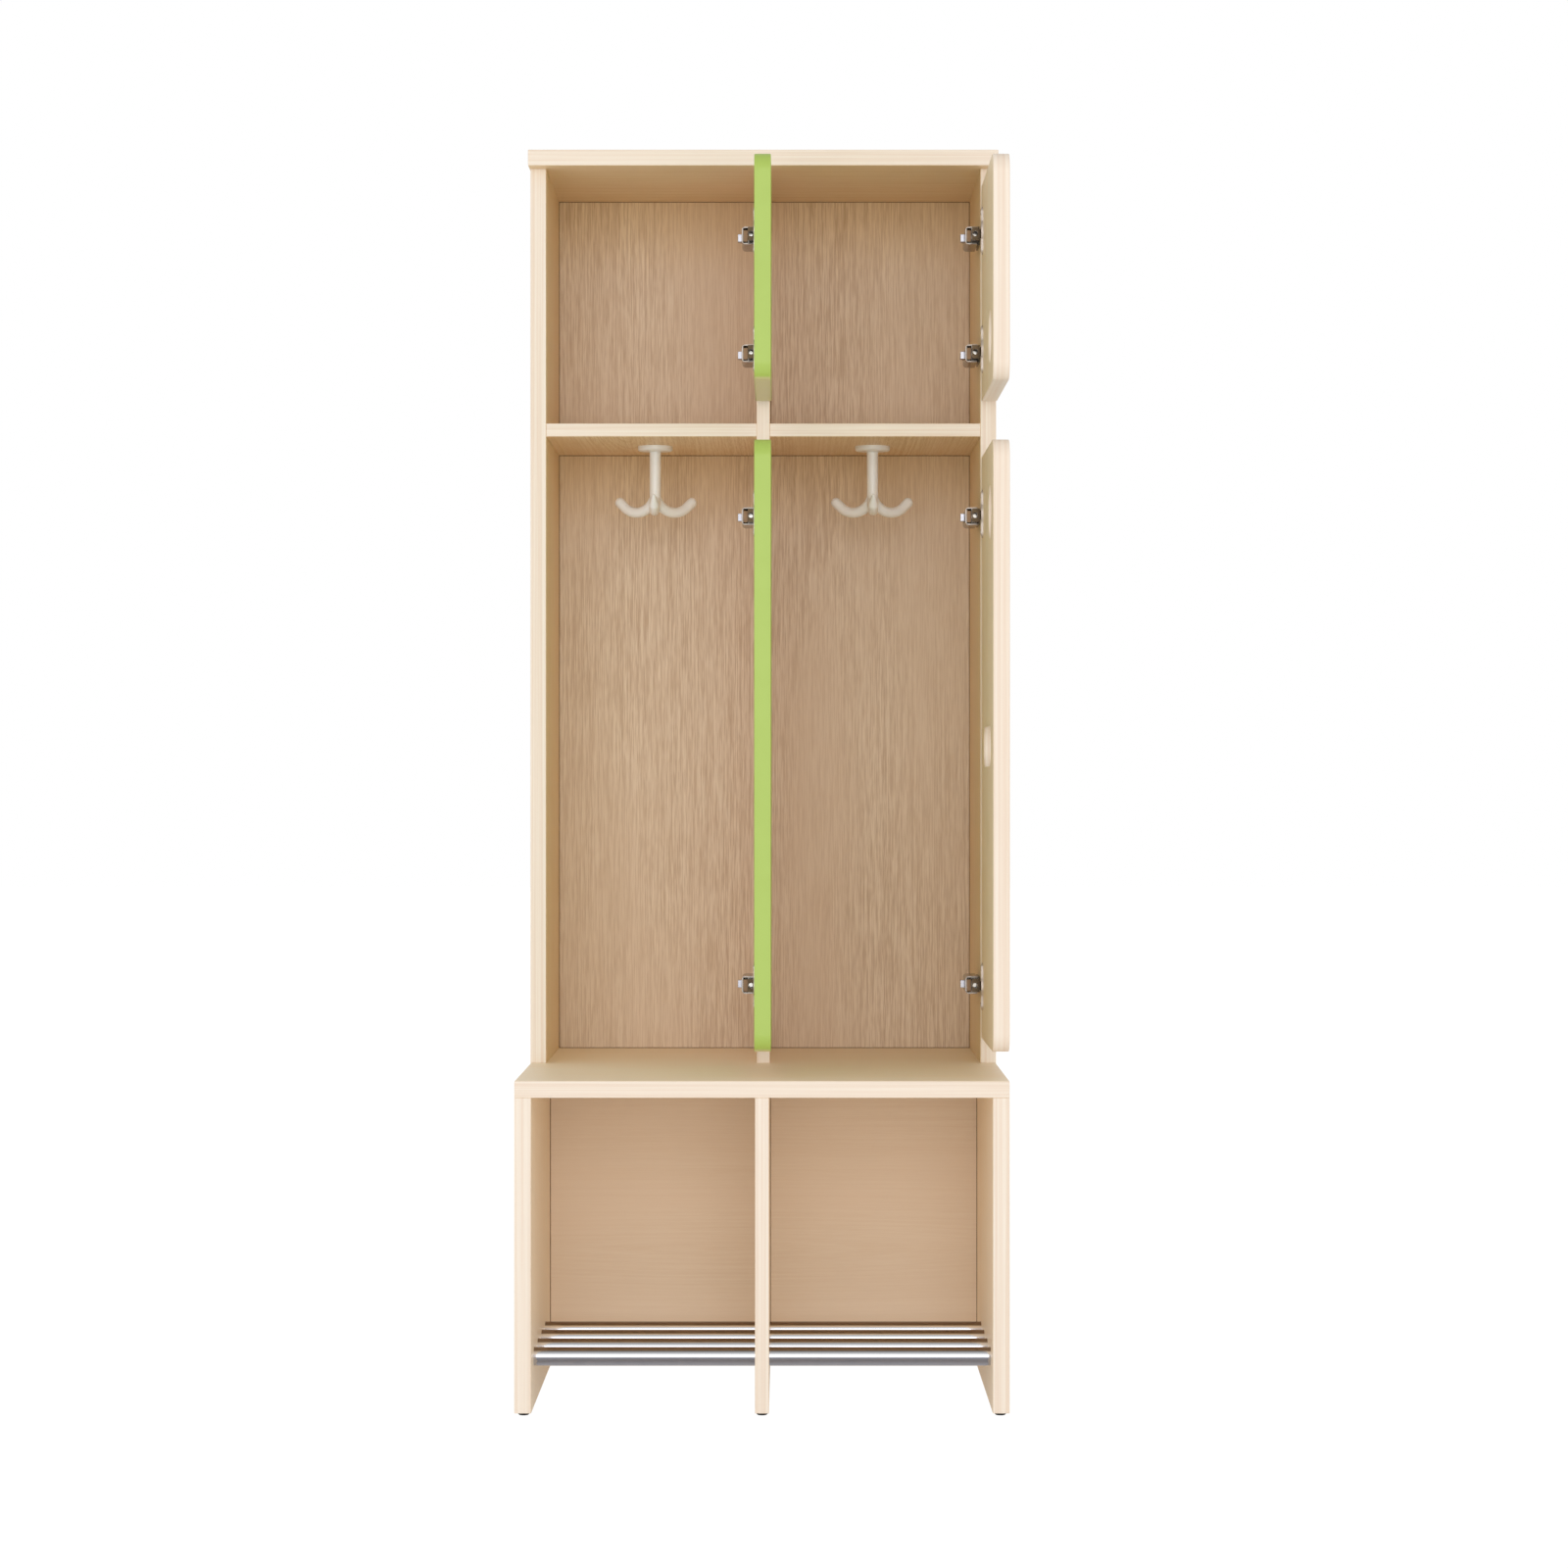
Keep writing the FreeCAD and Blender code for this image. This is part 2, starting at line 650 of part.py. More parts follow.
def make_bench_back():
    """The bench back stands between the sides, behind the divider."""
    body = board(
        "bench_back",
        (f"-{SIDE_FACE}", BENCH_BACK_FACE, "glide_height"),
        (f"2 * {SIDE_FACE}", "outer_board", BENCH_PANEL_HEIGHT),
        lambda edge: front_edge(edge) and lies_at(edge, "Z", 0),
    )
    spots = [("outer_board / 2", up) for up in BENCH_BACK_DOWEL_HEIGHTS]
    bores(body, "YZ_Plane", "0", True, spots, DOWEL_HOLE, DOWEL_IN_END)
    bores(body, "YZ_Plane", f"2 * {SIDE_FACE}", False, spots, DOWEL_HOLE, DOWEL_IN_END)


# Tubes, glides, dowels and coat hooks


def make_tubes():
    """Shoe tubes run from side to side through the divider."""
    reach = f"({SIDE_FACE} + tube_socket - tube_clearance)"
    for number, spot in enumerate(TUBE_SPOTS, start=1):
        body = new_body(f"shoe_tube_{number}", (f"-{reach}", f"{spot} - {REAR}", "tube_centre_height"))
        sketch = sketch_on(body, "YZ_Plane")
        circle(sketch, "0", "0", "tube_radius")
        circle(sketch, "0", "0", "tube_radius - tube_wall")
        pad(body, sketch, f"2 * {reach}")


def make_glides():
    """Six plastic glides with pegs in the bottom ends of the bench uprights."""
    foot = doc.addObject("Part::Cone", "glide_foot")
    bind(foot, Radius1="glide_foot_radius", Radius2="glide_radius", Height="glide_taper")
    disc = rod("glide_disc", "z", ("0", "0", "glide_taper"), "glide_radius", "glide_height - glide_taper")
    peg = rod("glide_peg", "z", ("0", "0", "glide_height"), "glide_peg_radius", "glide_peg_length")
    master = joined("glide", [foot, disc, peg])
    copies = []
    for column, rear in zip(UPRIGHT_CENTRES, (SIDE_REAR_GLIDE, DIVIDER_REAR_GLIDE, SIDE_REAR_GLIDE)):
        for depth in ("glide_end_setback", rear):
            spot = (column, f"{depth} - {REAR}", "0")
            copies.append(copy_of(f"glide_copy_{len(copies)}", master, spot))
    group("floor_glides", copies)


def make_dowels():
    """Wooden dowels of the board joints, upright ones and level ones."""
    upright = []
    cabinet_depths = [f"{CABINET_FRONT} + {depth}" for depth in CABINET_DOWEL_DEPTHS]
    bench_depths = [f"{depth} - {REAR}" for depth in BENCH_DOWEL_DEPTHS]
    divider_depths = [f"{depth} - {REAR}" for depth in BENCH_DIVIDER_DOWEL_DEPTHS]
    seat_base = "seat_height - dowel_in_face + dowel_clearance"
    top_base = f"{TOP_UNDERSIDE} + dowel_in_face - dowel_clearance - {DOWEL_LONG}"
    bench_base = f"{SEAT_UNDERSIDE} + dowel_in_face - dowel_clearance - {DOWEL_LONG}"
    for column, bench in zip(UPRIGHT_CENTRES, (bench_depths, divider_depths, bench_depths)):
        spots = [(depth, base) for depth in cabinet_depths for base in (seat_base, top_base)]
        spots += [(depth, bench_base) for depth in bench]
        for depth, base in spots:
            label = f"upright_dowel_{len(upright)}"
            upright.append(rod(label, "z", (column, depth, base), "dowel_radius", DOWEL_LONG))
    group("upright_dowels", upright)
    outer_start = f"{SIDE_FACE} - {DOWEL_IN_END} + dowel_clearance"
    left_start = f"-({SIDE_FACE} + dowel_in_face - dowel_clearance)"
    through = f"({HALF_DIVIDER} + {DOWEL_IN_END} - dowel_clearance)"
    runs = []
    for depth in cabinet_depths:
        runs += [((start, depth, SHELF_LEVEL), DOWEL_LONG) for start in (left_start, outer_start)]
        runs.append(((f"-{through}", depth, SHELF_LEVEL), f"2 * {through}"))
    back_depth = f"{BENCH_BACK_FACE} + outer_board / 2"
    for up in BENCH_BACK_DOWEL_HEIGHTS:
        height = f"glide_height + {up}"
        runs += [((start, back_depth, height), DOWEL_LONG) for start in (left_start, outer_start)]
    level = []
    for spot, length in runs:
        level.append(rod(f"level_dowel_{len(level)}", "x", spot, "dowel_radius", length))
    group("level_dowels", level)


def prong_parts(number):
    """One curved prong: a round bend, a straight end and a ball tip, turned about the stem."""
    start = math.radians(value("prong_start_angle"))
    tip = math.radians(value("prong_tip_angle"))
    bend, low_reach, low_drop = value("prong_bend_radius"), value("prong_low_reach"), value("prong_low_drop")
    straight = value("prong_tip_length")
    centre = FreeCAD.Vector(low_reach, 0, bend - low_drop)
    first = FreeCAD.Vector(-math.sin(start), 0, -math.cos(start))
    onward = FreeCAD.Vector(math.cos(start), 0, -math.sin(start))
    side = FreeCAD.Vector(0, -1, 0)
    turn = FreeCAD.Rotation(FreeCAD.Vector(0, 0, 1), FULL_TURN / PRONG_COUNT * number - QUARTER_TURN)
    about_stem = FreeCAD.Placement(FreeCAD.Vector(), turn)
    curve = doc.addObject("Part::Torus", f"prong_bend_{number}")
    bend_angle = "prong_start_angle + prong_tip_angle"
    bind(curve, Radius1="prong_bend_radius", Radius2="prong_radius", Angle3=bend_angle)
    downward = FreeCAD.Rotation(first, onward, side, "ZXY")
    curve.Placement = about_stem.multiply(FreeCAD.Placement(centre, downward))
    rim = FreeCAD.Vector(math.sin(tip), 0, -math.cos(tip))
    along = FreeCAD.Vector(math.cos(tip), 0, math.sin(tip))
    bend_end = centre + rim * bend
    bar = doc.addObject("Part::Cylinder", f"prong_end_{number}")
    bind(bar, Radius="prong_radius", Height="prong_tip_length")
    upward = FreeCAD.Rotation(FreeCAD.Vector(0, 0, 1), along)
    bar.Placement = about_stem.multiply(FreeCAD.Placement(bend_end, upward))
    ball = doc.addObject("Part::Sphere", f"prong_ball_{number}")
    bind(ball, Radius="prong_radius")
    ball.Placement = about_stem.multiply(FreeCAD.Placement(bend_end + along * straight, upward))
    return [curve, bar, ball]


def make_hooks():
    """Three-pronged coat hooks under the shelves, each held by a stud in its stem."""
    rim = rod("hook_rim", "z", ("0", "0", "-hook_disc_rim"), "hook_disc_radius", "hook_disc_rim")
    slope = doc.addObject("Part::Cone", "hook_disc_slope")
    slope_height = "hook_disc_height - hook_disc_rim"
    bind(slope, Radius1="hook_disc_face_radius", Radius2="hook_disc_radius", Height=slope_height)
    place(slope, ("0", "0", "-hook_disc_height"))
    stem = rod("hook_stem", "z", ("0", "0", "-hook_stem_drop"), "hook_stem_radius", "hook_stem_drop")
    end = doc.addObject("Part::Sphere", "hook_stem_end")
    bind(end, Radius="hook_stem_radius")
    place(end, ("0", "0", "-hook_stem_drop"))
    pieces = [rim, slope, stem, end]
    for number in range(PRONG_COUNT):
        pieces += prong_parts(number)
    doc.recompute()
    hole_start = ("0", "0", "-(stud_in_hook + blind_end)")
    hole = rod("hook_stud_hole", "z", hole_start, STUD_HOLE, "stud_in_hook + blind_end + overrun")
    master = cut("hook_master", joined("hook_form", pieces), [hole])
    stud_length = "stud_in_hook + stud_in_shelf"
    stud = rod("hook_stud_master", "z", ("0", "0", "-stud_in_hook"), "stud_radius", stud_length)
    studs = []
    for label, side in (("left_hook", "-"), ("right_hook", "")):
        middle = f"{side}({HALF_DIVIDER} + {BAY_WIDTH} / 2)"
        spot = (middle, f"{CABINET_FRONT} + hook_setback", SHELF_UNDERSIDE)
        group(label, [copy_of(f"{label}_copy", master, spot)])
        studs.append(copy_of(f"{label}_stud", stud, spot))
    group("hook_studs", studs)


# Doors and their hinges, open at a right angle to the cabinet front

DOORS = (
    ("upper_left_door", f"-{HALF_DIVIDER}", "divider_overlay", UPPER_DOOR_LOW, UPPER_DOOR_HEIGHT, "upper"),
    ("lower_left_door", f"-{HALF_DIVIDER}", "divider_overlay", LOWER_DOOR_LOW, LOWER_DOOR_HEIGHT, "lower"),
    ("upper_right_door", SIDE_FACE, "side_overlay", UPPER_DOOR_LOW, UPPER_DOOR_HEIGHT, "upper"),
    ("lower_right_door", SIDE_FACE, "side_overlay", LOWER_DOOR_LOW, LOWER_DOOR_HEIGHT, "lower"),
)


def hinge_heights(height, kind):
    """Heights of a door's two hinges above its lower edge."""
    if kind == "upper":
        return ("upper_hinge_inset", f"{height} - upper_hinge_inset")
    return ("lower_door_bottom_hinge_inset", f"{height} - lower_door_top_hinge_inset")


def pivot_lap(overlay):
    """How far the pin lies behind the inner face of the hinge board, seen from the bay."""
    return f"({overlay} - pivot_edge)"


def open_face(overlay):
    """The inner face of the open door, measured from the hinge board's face into the bay."""
    return f"(pivot_depth - {pivot_lap(overlay)})"


def make_door(label, hinge_face, overlay, low, height, kind):
    """A door board with two round corners, a finger hole and the pockets of its hinge cups."""
    corner = (f"{hinge_face} - {open_face(overlay)}", f"{CABINET_FRONT} - {OPEN_EDGE} - door_width", low)
    body = new_body(label, corner)
    outline = sketch_on(body, "YZ_Plane")
    rectangle(outline, "door_width", height)
    pad(body, outline, "door_board")
    ease(body, "door_corner_radius", front_corner)
    if kind == "upper":
        hole_height = "upper_hole_rise"
    else:
        hole_height = f"{height} - lower_hole_drop"
        slot = sketch_on(body, "YZ_Plane")
        long_slot(slot, "door_width / 2", f"{height} / 2", "slot_length", "slot_width")
        pocket(body, slot, "door_board", True)
    finger_hole = ("finger_hole_edge", hole_height)
    bores(body, "YZ_Plane", "0", True, [finger_hole], "finger_hole_radius", "door_board")
    faces = (0, value("door_board"))
    ease(body, "edge_radius", lambda edge: any(lies_at(edge, "X", face) for face in faces))
    rows = hinge_heights(height, kind)
    centre = f"door_width - {CUP_CENTRE}"
    cups = [(centre, row) for row in rows]
    bores(body, "YZ_Plane", "0", True, cups, "cup_pocket_radius", "cup_pocket_depth")
    line = f"{centre} - cup_screw_setback"
    spots = [(line, f"{row} {side} cup_screw_spacing / 2") for row in rows for side in ("-", "+")]
    bores(body, "YZ_Plane", "0", True, spots, "cup_screw_radius + screw_clearance",
          "cup_screw_length + blind_end - flange_thickness")


def hinge_cup(name, lap, face, line):
    """A cup with its flange, pierced by two cheeks that hold the pin."""
    centre = f"({OPEN_EDGE} + {CUP_CENTRE})"
    outer = "(cup_pocket_radius - cup_clearance)"
    floor = f"{face} - (cup_pocket_depth - cup_clearance)"
    half = "(cup_screw_spacing / 2)"
    shell = rod(f"{name}_shell", "x", (floor, centre, "0"), outer, "cup_pocket_depth - cup_clearance")
    ring = rod(f"{name}_ring", "x", (face, centre, "0"), "cup_pocket_radius + flange_lip", "flange_thickness")
    strip = block(
        f"{name}_strip",
        (face, f"{line} - flange_end_radius", f"-{half}"),
        (f"{face} + flange_thickness", f"{line} + flange_end_radius", half),
    )
    form = [shell, ring, strip]
    bowl_depth = "cup_pocket_depth - cup_clearance + overrun"
    bowl_start = (f"{floor} + cup_wall", centre, "0")
    hollows = [rod(f"{name}_bowl", "x", bowl_start, f"{outer} - cup_wall", bowl_depth)]
    for number, side in enumerate(("-", "")):
        end = (face, line, f"{side}{half}")
        form.append(rod(f"{name}_end_{number}", "x", end, "flange_end_radius", "flange_thickness"))
        start = moved(end, "x", "- overrun")
        radius = "cup_screw_radius + screw_clearance"
        hollows.append(rod(f"{name}_cup_hole_{number}", "x", start, radius, "2 * overrun"))
    cup = cut(f"{name}_cup_form", joined(f"{name}_cup_sum", form), hollows)
    cheeks = []
    for low, high in ((f"-{CHEEK_OUTSIDE}", f"-{CHEEK_INSIDE}"), (CHEEK_INSIDE, CHEEK_OUTSIDE)):
        cheeks.append(
            block(
                f"{name}_cheek_{len(cheeks)}",
                (f"{floor} + cup_wall / 2", f"{OPEN_EDGE} + cheek_start", low),
                (f"-{lap} + cheek_rise", f"{PIVOT_FORWARD} + cheek_reach", high),
            )
        )
    bore_start = (f"-{lap}", PIVOT_FORWARD, f"-({CHEEK_OUTSIDE} + overrun)")
    bore = rod(f"{name}_cheek_bore", "z", bore_start, PIN_HOLE, f"2 * ({CHEEK_OUTSIDE} + overrun)")
    pierced = cut(f"{name}_cheeks", joined(f"{name}_cheek_pair", cheeks), [bore])
    return joined(f"{name}_cup", [cup, pierced])


def hinge_channel(name, front, back):
    """The long part of the arm: a channel with two round shoulders, open towards the board."""
    half = "arm_width / 2"
    solid = block(f"{name}_channel", ("arm_lift", back, f"-{half}"), ("arm_height", front, half))
    doc.recompute()
    rounded = doc.addObject("Part::Fillet", f"{name}_shoulders")
    rounded.Base = solid
    radius, outer = value("arm_shoulder_radius"), value("arm_height")
    rounded.Edges = [
        (number, radius, radius)
        for number, edge in enumerate(solid.Shape.Edges, start=1)
        if lies_at(edge, "X", outer) and not lies_at(edge, "Y", edge.Vertexes[0].Y)
    ]
    hollow = block(
        f"{name}_hollow",
        ("arm_lift - overrun", f"{back} - overrun", f"-({half} - arm_wall)"),
        ("arm_height - arm_wall", f"{front} - arm_wall", f"{half} - arm_wall"),
    )
    return cut(f"{name}_channel_shell", rounded, [hollow])


def hinge_arm(name, lap, front):
    """The arm: a knuckle on the pin, a tongue, a face plate, a riser, the channel and its latch."""
    neck_high = f"({PIVOT_FORWARD} + knuckle_radius)"
    neck_low = f"({neck_high} - neck_sheet)"
    back = f"({front} - arm_length)"
    half_tongue, half_face = "tongue_width / 2", "face_width / 2"
    pivot = (f"-{lap}", PIVOT_FORWARD, f"-{half_tongue}")
    knuckle = rod(f"{name}_knuckle", "z", pivot, "knuckle_radius", "tongue_width")
    tongue = block(
        f"{name}_tongue",
        (f"-{lap}", neck_low, f"-{half_tongue}"),
        ("face_start + neck_sheet", neck_high, half_tongue),
    )
    plate = block(
        f"{name}_face", ("face_start", neck_low, f"-{half_face}"), ("riser_reach", neck_high, half_face)
    )
    riser = block(
        f"{name}_riser",
        ("riser_reach - neck_sheet", f"{front} - arm_wall", f"-{half_face}"),
        ("riser_reach", neck_high, half_face),
    )
    latch_back = "(arm_head_radius + latch_gap - plate_line)"
    latch = block(
        f"{name}_latch",
        ("arm_height - arm_wall", latch_back, "-latch_width / 2"),
        ("arm_height + latch_height", f"{latch_back} + latch_length", "latch_width / 2"),
    )
    pin_hole_start = moved(pivot, "z", "- overrun")
    pin_hole = rod(f"{name}_pin_hole", "z", pin_hole_start, PIN_HOLE, "tongue_width + 2 * overrun")
    access = rod(
        f"{name}_access", "y", ("access_hole_reach", f"{neck_low} - overrun", "0"),
        "access_hole_radius", "neck_sheet + 2 * overrun",
    )
    fixing = rod(
        f"{name}_fixing_hole", "x", ("arm_height - arm_wall - overrun", "-plate_line", "0"),
        "arm_screw_radius + screw_clearance", "arm_wall + 2 * overrun",
    )
    setting = rod(
        f"{name}_setting_hole", "y", ("set_screw_reach", f"{front} - arm_wall - overrun", "0"),
        "set_screw_radius + screw_clearance", "arm_wall + overrun + arm_front_setback",
    )
    solids = [knuckle, tongue, plate, riser, hinge_channel(name, front, back), latch]
    return cut(f"{name}_arm", joined(f"{name}_arm_sum", solids), [pin_hole, access, fixing, setting])


def hinge_plate(name):
    """The mounting plate on the board, with the rib that the arm is clamped on."""
    base = block(
        f"{name}_base",
        ("0", "-(plate_line + plate_length / 2)", "-plate_width / 2"),
        ("plate_thickness", "-(plate_line - plate_length / 2)", "plate_width / 2"),
    )
    rib_top = "(arm_height - arm_wall - rib_clearance)"
    rib = block(f"{name}_rib", ("0", "-rib_back", "-rib_width / 2"), (rib_top, "-rib_front", "rib_width / 2"))
    holes = []
    for side in ("-", "+"):
        start = ("-overrun", f"-(plate_line {side} plate_screw_spacing / 2)", "0")
        label = f"{name}_plate_hole_{len(holes)}"
        holes.append(rod(label, "x", start, PLATE_SCREW_HOLE, "plate_thickness + 2 * overrun"))
    thread = rod(
        f"{name}_thread", "x", ("arm_height - arm_screw_length - blind_end", "-plate_line", "0"),
        "arm_screw_radius + screw_clearance", "arm_screw_length + blind_end",
    )
    return cut(f"{name}_plate", joined(f"{name}_plate_sum", [base, rib]), holes + [thread])


def screws(label, spots, kind):
    """Screws of one kind with their heads at the given spots."""
    return [screw(f"{label}_{number}", "x", spot, kind) for number, spot in enumerate(spots)]


def make_hinge_masters(name, overlay):
    """One hinge in its own frame: X into the bay, Y forward, Z up, from the cabinet's front edge."""
    lap = pivot_lap(overlay)
    face = open_face(overlay)
    line = f"({OPEN_EDGE} + {CUP_CENTRE} + cup_screw_setback)"
    front = "(-arm_front_setback)"
    pin_start = (f"-{lap}", PIVOT_FORWARD, f"-{CHEEK_OUTSIDE}")
    arm_screw = screw(f"{name}_arm_screw", "x", ("arm_height", "-plate_line", "0"), "arm")
    set_screw = screw(f"{name}_set_screw", "y", ("set_screw_reach", front, "0"), "set")
    cup_seats = [(f"{face} + flange_thickness", line, f"{side}cup_screw_spacing / 2") for side in ("-", "")]
    plate_seats = [
        ("plate_thickness", f"-(plate_line {side} plate_screw_spacing / 2)", "0") for side in ("-", "+")
    ]
    return {
        "cups": [hinge_cup(name, lap, face, line)],
        "pins": [rod(f"{name}_pin", "z", pin_start, "pin_radius", f"2 * {CHEEK_OUTSIDE}")],
        "arms": [hinge_arm(name, lap, front)],
        "plates": [hinge_plate(name)],
        "cup_screws": screws(f"{name}_cup_screw", cup_seats, "cup"),
        "plate_screws": screws(f"{name}_plate_screw", plate_seats, "plate"),
        "arm_screws": [arm_screw, set_screw],
    }


def make_hinges(label, masters, hinge_face, low, height, kind):
    """The two hinges of one door, each kind of piece as one sub-part."""
    facing = FreeCAD.Rotation(FreeCAD.Vector(0, 0, 1), 2 * QUARTER_TURN)
    for piece, originals in masters.items():
        copies = []
        for row in hinge_heights(height, kind):
            for original in originals:
                spot = (hinge_face, CABINET_FRONT, f"{low} + {row}")
                copies.append(copy_of(f"{label}_{piece}_copy_{len(copies)}", original, spot, facing))
        group(f"{label}_hinge_{piece}", copies)


make_top_board()
make_cabinet_sides()
make_cabinet_divider()
make_shelves()
make_back_sheet()
make_seat()
make_bench_uprights()
make_bench_back()
make_tubes()
make_glides()
make_dowels()
make_hooks()
hinge_sets = {
    "side_overlay": make_hinge_masters("side", "side_overlay"),
    "divider_overlay": make_hinge_masters("divider", "divider_overlay"),
}
for label, hinge_face, overlay, low, height, kind in DOORS:
    make_door(label, hinge_face, overlay, low, height, kind)
    make_hinges(label, hinge_sets[overlay], hinge_face, low, height, kind)
doc.recompute()

for thing in doc.Objects:
    if {"Invalid", "Error"} & set(thing.State):
        raise RuntimeError(f"{thing.Label} did not compute")
for thing in nodes:
    if thing.Shape.isNull() or not thing.Shape.isValid():
        raise RuntimeError(f"{thing.Label} has no valid shape")

os.makedirs("parts", exist_ok=True)
for thing in nodes:
    thing.Shape.exportStep(f"parts/{thing.Label}.step")
print(len(nodes), "sub-parts written")
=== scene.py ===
"""Looks of the cloakroom unit: finishes, smooth fittings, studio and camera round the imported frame."""
import logging
import math
from contextlib import contextmanager
from dataclasses import dataclass
from enum import Enum
from typing import Callable, Dict, Iterator, Optional, Sequence, Tuple, Union

import bmesh
import bpy
from mathutils import Matrix, Vector


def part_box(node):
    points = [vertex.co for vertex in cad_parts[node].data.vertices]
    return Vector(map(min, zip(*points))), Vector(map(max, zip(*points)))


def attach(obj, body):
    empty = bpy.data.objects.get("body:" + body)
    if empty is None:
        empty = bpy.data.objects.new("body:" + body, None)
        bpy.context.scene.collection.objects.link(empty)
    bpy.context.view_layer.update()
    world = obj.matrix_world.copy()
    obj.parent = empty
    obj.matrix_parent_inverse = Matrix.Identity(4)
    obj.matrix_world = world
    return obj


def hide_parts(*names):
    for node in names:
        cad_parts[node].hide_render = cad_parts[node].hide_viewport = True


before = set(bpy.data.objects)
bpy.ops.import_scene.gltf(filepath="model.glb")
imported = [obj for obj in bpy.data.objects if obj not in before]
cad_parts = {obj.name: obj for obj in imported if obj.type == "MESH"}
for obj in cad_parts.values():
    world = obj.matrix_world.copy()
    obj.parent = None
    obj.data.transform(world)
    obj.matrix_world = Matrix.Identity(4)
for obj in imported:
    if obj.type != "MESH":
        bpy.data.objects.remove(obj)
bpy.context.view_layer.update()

LOG = logging.getLogger("cloakroom")
CARCASS = "carcass"
MM = 0.001
# how far apart two places may be and still count as one, and the same for a copied CAD mesh
TOUCH = 0.01 * MM
WELD = 0.002 * MM
# how far under the board above it a back sheet gets painted shade, a warmer tint
PAINTED_SHADE_REACH = 110 * MM
# depths under the face of a back sheet where the painted shade in a gap fades in and out
GAP_TOP = (0.2 * MM, 0.5 * MM)
GAP_FLOOR = (1.0 * MM, 1.3 * MM)

Colour = Tuple[float, float, float]
Number = Union[float, "Signal"]
Owner = Union[bpy.types.Material, bpy.types.World]


def tone(red: int, green: int, blue: int) -> Colour:
    """Turn a colour as a screen shows it into linear light.

    Args:
        red: red part, 0 to 255.
        green: green part, 0 to 255.
        blue: blue part, 0 to 255.

    Returns:
        The three parts in linear light.
    """
    parts = []
    for part in (red, green, blue):
        share = part / 255
        parts.append(share / 12.92 if share <= 0.04045 else ((share + 0.055) / 1.055) ** 2.4)
    return parts[0], parts[1], parts[2]


class Axis(Enum):
    """A direction of the unit: across it, into its depth, or upright."""

    ACROSS = 0
    DEEP = 1
    UPRIGHT = 2


class Ray(Enum):
    """A kind of light path."""

    CAMERA = "Is Camera Ray"
    GLOSSY = "Is Glossy Ray"
    TRANSMISSION = "Is Transmission Ray"


# Shader maths


class Signal:
    """A value on its way through the nodes of a finish."""

    def __init__(self, graph: "Graph", socket: bpy.types.NodeSocket) -> None:
        """Keep the graph and the socket that carries the value."""
        self.graph = graph
        self.socket = socket

    def math(self, operation: str, first: Number, second: Optional[Number] = None) -> "Signal":
        """Add one Math node.

        Args:
            operation: the node's operation.
            first: its first value.
            second: its second value, if the operation has one.

        Returns:
            The node's value.
        """
        inputs: Dict[int, Number] = {0: first}
        if second is not None:
            inputs[1] = second
        return self.graph.node("ShaderNodeMath", {"operation": operation}, inputs)

    def __add__(self, other: Number) -> "Signal":
        """Sum."""
        return self.math("ADD", self, other)

    __radd__ = __add__

    def __sub__(self, other: Number) -> "Signal":
        """Difference."""
        return self.math("SUBTRACT", self, other)

    def __rsub__(self, other: Number) -> "Signal":
        """Difference from a number."""
        return self.math("SUBTRACT", other, self)

    def __mul__(self, other: Number) -> "Signal":
        """Product."""
        return self.math("MULTIPLY", self, other)

    __rmul__ = __mul__

    def __pow__(self, other: Number) -> "Signal":
        """Power."""
        return self.math("POWER", self, other)

    def __abs__(self) -> "Signal":
        """Distance from zero."""
        return self.math("ABSOLUTE", self)

    def step(self, low: float, high: float) -> "Signal":
        """Rise smoothly from 0 to 1.

        Args:
            low: where the rise starts.
            high: where it ends.

        Returns:
            A share from 0 to 1.
        """
        return self.graph.node(
            "ShaderNodeMapRange",
            {"interpolation_type": "SMOOTHSTEP"},
            {"Value": self, "From Min": low, "From Max": high},
        )


